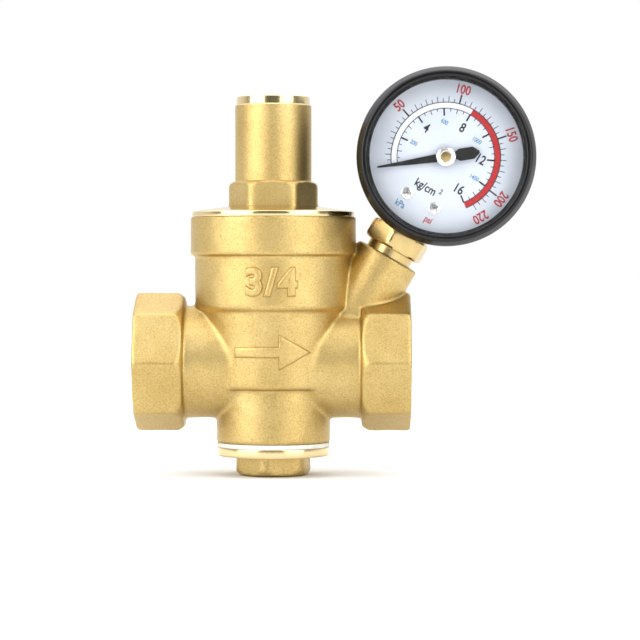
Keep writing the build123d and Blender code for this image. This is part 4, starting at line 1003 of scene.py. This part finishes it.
def pointer():
    """Thin blade with a narrow neck and a broad tail, and its cap."""
    low = -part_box("pointer")[1].y / MM
    high = -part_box("pointer")[0].y / MM
    ease = 0.06
    outline = [(16.6, 0.14), (1.4, 0.98), (-2.4, 0.8), (-3.3, 1.42), (-6.7, 1.42), (-8.1, 0.25),
               (-8.1, -0.25), (-6.7, -1.42), (-3.3, -1.42), (-2.4, -0.8), (1.4, -0.98), (16.6, -0.14)]
    curve = flat_shape(outline)
    curve.extrude = (high - low) / 2 - ease
    curve.bevel_depth = ease
    curve.bevel_resolution = 2
    mesh = curve_mesh(curve)
    turn = math.radians(ZERO_DEG)
    points = []
    for v in mesh.vertices:
        x, y = v.co.x, v.co.y
        points.append((x * math.cos(turn) - y * math.sin(turn),
                       x * math.sin(turn) + y * math.cos(turn),
                       (low + high) / 2 + v.co.z))
    faces = [tuple(p.vertices) for p in mesh.polygons]
    piece("pointer_blade", DIAL.points(points), faces, SATIN_BLACK, body="pointer", slot="pointer_black",
          replaces=("pointer",), sharp_deg=30)
    top = -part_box("pointer_cap")[0].y / MM
    cap = rounded(
        [(0.0, high), (2.45, high), (2.5, high + 0.3), (2.3, top - 0.25), (1.55, top),
         (1.35, top - 0.12), (1.25, top - 0.2), (0.0, top - 0.05)],
        [0, 0, 0.1, 0.2, 0.15, 0.05, 0.05, 0], steps=4,
    )
    obj = turned("pointer_hub", DIAL, cap, STEEL, segments=96, body="pointer", slot="bright_steel",
                 replaces=("pointer_cap",), sharp_deg=50)
    centre = Vector(GAUGE_CENTRE)

    def spindle_end(at):
        return math.hypot(at.x / MM - centre.x, at.z / MM - centre.z) < 1.3

    second_material(obj, BAR_BRASS, spindle_end)


pointer()


def adjusting_screw():
    """Set screw with a hexagon socket."""
    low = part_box("adjusting_screw")[0].z / MM
    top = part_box("adjusting_screw")[1].z / MM
    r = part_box("adjusting_screw")[1].y / MM
    rows = [(0.0, low), (r - 0.5, low), (r, low + 0.5), (r, top - 0.5), (r - 0.5, top), (5.2, top),
            (4.95, top - 0.2, 8.2)]
    rows += [(9.0, top - 0.45, 8.0), (9.0, top - 3.0, 8.0), (9.0, top - 5.6, 8.0), (0.0, top - 6.0)]
    turned("set_screw", VALVE, rows, TURNED, segments=144, body="screw", slot="machined_brass",
           replaces=("adjusting_screw",), sharp_deg=32)


adjusting_screw()


def swept(path, across, outward, section):
    """A bar along a path: each section point goes along the two side directions of its path point."""
    points = [at + u * side + v * out for at, side, out in zip(path, across, outward) for u, v in section]
    faces = grid_faces(len(path), len(section))
    last = (len(path) - 1) * len(section)
    faces.append(tuple(range(len(section))))
    faces.append(tuple(range(last, last + len(section))))
    return np.array(points), faces


def main_spring():
    """Compression spring in two halves, neither of them attached to a body."""
    wire, coil_r, turns = 1.1, 5.6, 7
    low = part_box("main_spring")[0].z / MM
    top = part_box("main_spring")[1].z / MM
    middle = (low + top) / 2
    round_it = np.linspace(0, 2 * math.pi, 24, endpoint=False)
    section = [(wire * math.cos(a), wire * math.sin(a)) for a in round_it]

    def axis_point(z):
        return VALVE.points([(0.0, 0.0, z)])[0]

    below, between, above = axis_point(low + wire), axis_point(middle), axis_point(top - wire)
    for name, first, last, body in (
        ("main_spring_lower", 0, turns / 2, ("piston", "valve", below, between)),
        ("main_spring_upper", turns / 2, turns, ("valve", "spring_seat", between, above)),
    ):
        path, across, outward = [], [], []
        for turn in np.linspace(first, last, 169):
            a = 2 * math.pi * turn
            radial = np.array([math.cos(a), math.sin(a), 0.0])
            rise = (top - low - 2 * wire) / turns / 2 / math.pi
            forward = np.array([-coil_r * math.sin(a), coil_r * math.cos(a), rise])
            path.append(radial * coil_r + np.array([0, 0, low + wire + rise * a]))
            across.append(radial)
            outward.append(np.cross(forward / np.linalg.norm(forward), radial))
        points, faces = swept(path, across, outward, section)
        piece(name, VALVE.points(points), faces, SPRING_STEEL, body=body, slot="spring_steel",
              replaces=("main_spring",))


main_spring()


def bourdon_tube():
    """Flattened bronze tube in a fixed arc round the dial's centre, attached to no body."""
    mean_r, thickness, start_deg, sweep_deg = 13.3, 1.8, -122.0, -260.0
    front = -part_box("bourdon_tube")[0].y / MM
    back = -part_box("bourdon_tube")[1].y / MM
    half = (front - back) / 2
    side = thickness / 2
    section = rounded([(side, -half), (side, half), (-side, half), (-side, -half)],
                      side * 0.98, steps=6, closed=True)
    path, across, outward = [], [], []
    for deg in np.linspace(start_deg, start_deg + sweep_deg, 131):
        a = math.radians(deg)
        radial = np.array([math.cos(a), math.sin(a), 0.0])
        path.append(radial * mean_r + np.array([0, 0, (front + back) / 2]))
        across.append(radial)
        outward.append(np.array([0.0, 0.0, 1.0]))
    points, faces = swept(path, across, outward, section)
    ends = DIAL.points([(-0.3 * mean_r, 0.0, 0.0), (0.9 * mean_r, 0.0, 0.0)])
    piece("tube_of_gauge", DIAL.points(points), faces, BRONZE, body=("valve", "tube_end", ends[0], ends[1]),
          slot="bronze_spring", replaces=("bourdon_tube",), sharp_deg=60)


bourdon_tube()

# ---------------------------------------------------------------------------------------------
# CAD pieces that keep their own shape
# ---------------------------------------------------------------------------------------------

for node, material in {
    "bonnet_seal": RUBBER,
    "spring_seat": TURNED,
    "piston": TURNED,
    "piston_o_ring": RUBBER,
    "valve_disc": RUBBER,
    "disc_holder": TURNED,
    "disc_nut": TURNED,
    "lens_gasket": RUBBER,
    "pinion": TURNED,
    "sector_gear": TURNED,
    "tube_tip": TURNED,
    "link": TURNED,
    "movement_back_plate": TURNED,
    "movement_front_plate": TURNED,
    "movement_pillars": TURNED,
    "movement_screws": STEEL,
    "hairspring": BRONZE,
}.items():
    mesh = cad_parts[node].data
    mesh.materials.clear()
    mesh.materials.append(material)

# ---------------------------------------------------------------------------------------------
# Stage: pale floor, soft light, camera
# ---------------------------------------------------------------------------------------------


def stage():
    low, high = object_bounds()
    floor = bpy.data.meshes.new("floor")
    half = 4.0
    height = low.z - 0.0002
    corners = ((-half, -half), (half, -half), (half, half), (-half, half))
    floor.from_pydata([(x, y, height) for x, y in corners], [], [(0, 1, 2, 3)])
    floor.materials.append(floor_paper())
    obj = bpy.data.objects.new("floor", floor)
    bpy.context.collection.objects.link(obj)
    obj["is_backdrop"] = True

    centre = Vector((PORT_REACH * MM, 0, 0.018))
    for name, place, size, power in (
        ("key_left", (-0.63, -0.49, 0.34), (0.76, 0.80), 6.6),
        ("key_right", (0.57, -0.56, 0.32), (0.66, 0.80), 4.6),
        ("top", (0.05, -0.10, 0.75), (0.7, 0.5), 1.6),
    ):
        light = bpy.data.lights.new(name, "AREA")
        light.shape = "RECTANGLE"
        light.size, light.size_y = size
        light.energy = power
        lamp = bpy.data.objects.new(name, light)
        lamp.location = Vector(place) + centre
        lamp.rotation_mode = "QUATERNION"
        lamp.rotation_quaternion = (-Vector(place)).to_track_quat("-Z", "Y")
        bpy.context.collection.objects.link(lamp)

    # a pale room, dim behind the camera, bright behind the object and overhead
    world = bpy.data.worlds.new("studio")
    bpy.context.scene.world = world
    world.use_nodes = True
    nodes, links = world.node_tree.nodes, world.node_tree.links
    where = nodes.new("ShaderNodeTexCoord")
    split = nodes.new("ShaderNodeSeparateXYZ")
    links.new(where.outputs["Generated"], split.inputs[0])

    def fade(output, start, end, low, high):
        ramp = nodes.new("ShaderNodeMapRange")
        ramp.interpolation_type = "SMOOTHSTEP"
        for socket, value in zip(("From Min", "From Max", "To Min", "To Max"), (start, end, low, high)):
            ramp.inputs[socket].default_value = value
        links.new(output, ramp.inputs["Value"])
        return ramp.outputs["Result"]

    behind = fade(split.outputs["Y"], -0.4, 0.5, 0.14, 1.0)
    overhead = fade(split.outputs["Z"], 0.25, 0.85, 0.0, 1.05)
    total = nodes.new("ShaderNodeMath")
    links.new(behind, total.inputs[0])
    links.new(overhead, total.inputs[1])
    # the gradient lights the part; where the camera looks past it the studio is plain white
    seen = nodes.new("ShaderNodeMath")
    seen.operation = "MAXIMUM"
    links.new(total.outputs[0], seen.inputs[0])
    links.new(nodes.new("ShaderNodeLightPath").outputs["Is Camera Ray"], seen.inputs[1])
    links.new(seen.outputs[0], nodes["Background"].inputs["Strength"])
    nodes["Background"].inputs["Color"].default_value = (1.0, 1.0, 1.0, 1)

    camera = bpy.data.cameras.new("camera")
    camera.sensor_width = 36.0
    camera.lens = 138.0
    camera.clip_start = 0.01
    eye = bpy.data.objects.new("camera", camera)
    eye.location = Vector((PORT_REACH + 18.5, -600, 24)) * MM
    aim = Vector((PORT_REACH + 11.4, 0, 10.2)) * MM
    eye.rotation_mode = "QUATERNION"
    eye.rotation_quaternion = (aim - eye.location).to_track_quat("-Z", "Y")
    bpy.context.collection.objects.link(eye)
    bpy.context.scene.camera = eye
    bpy.context.scene.view_settings.view_transform = "Standard"


stage()
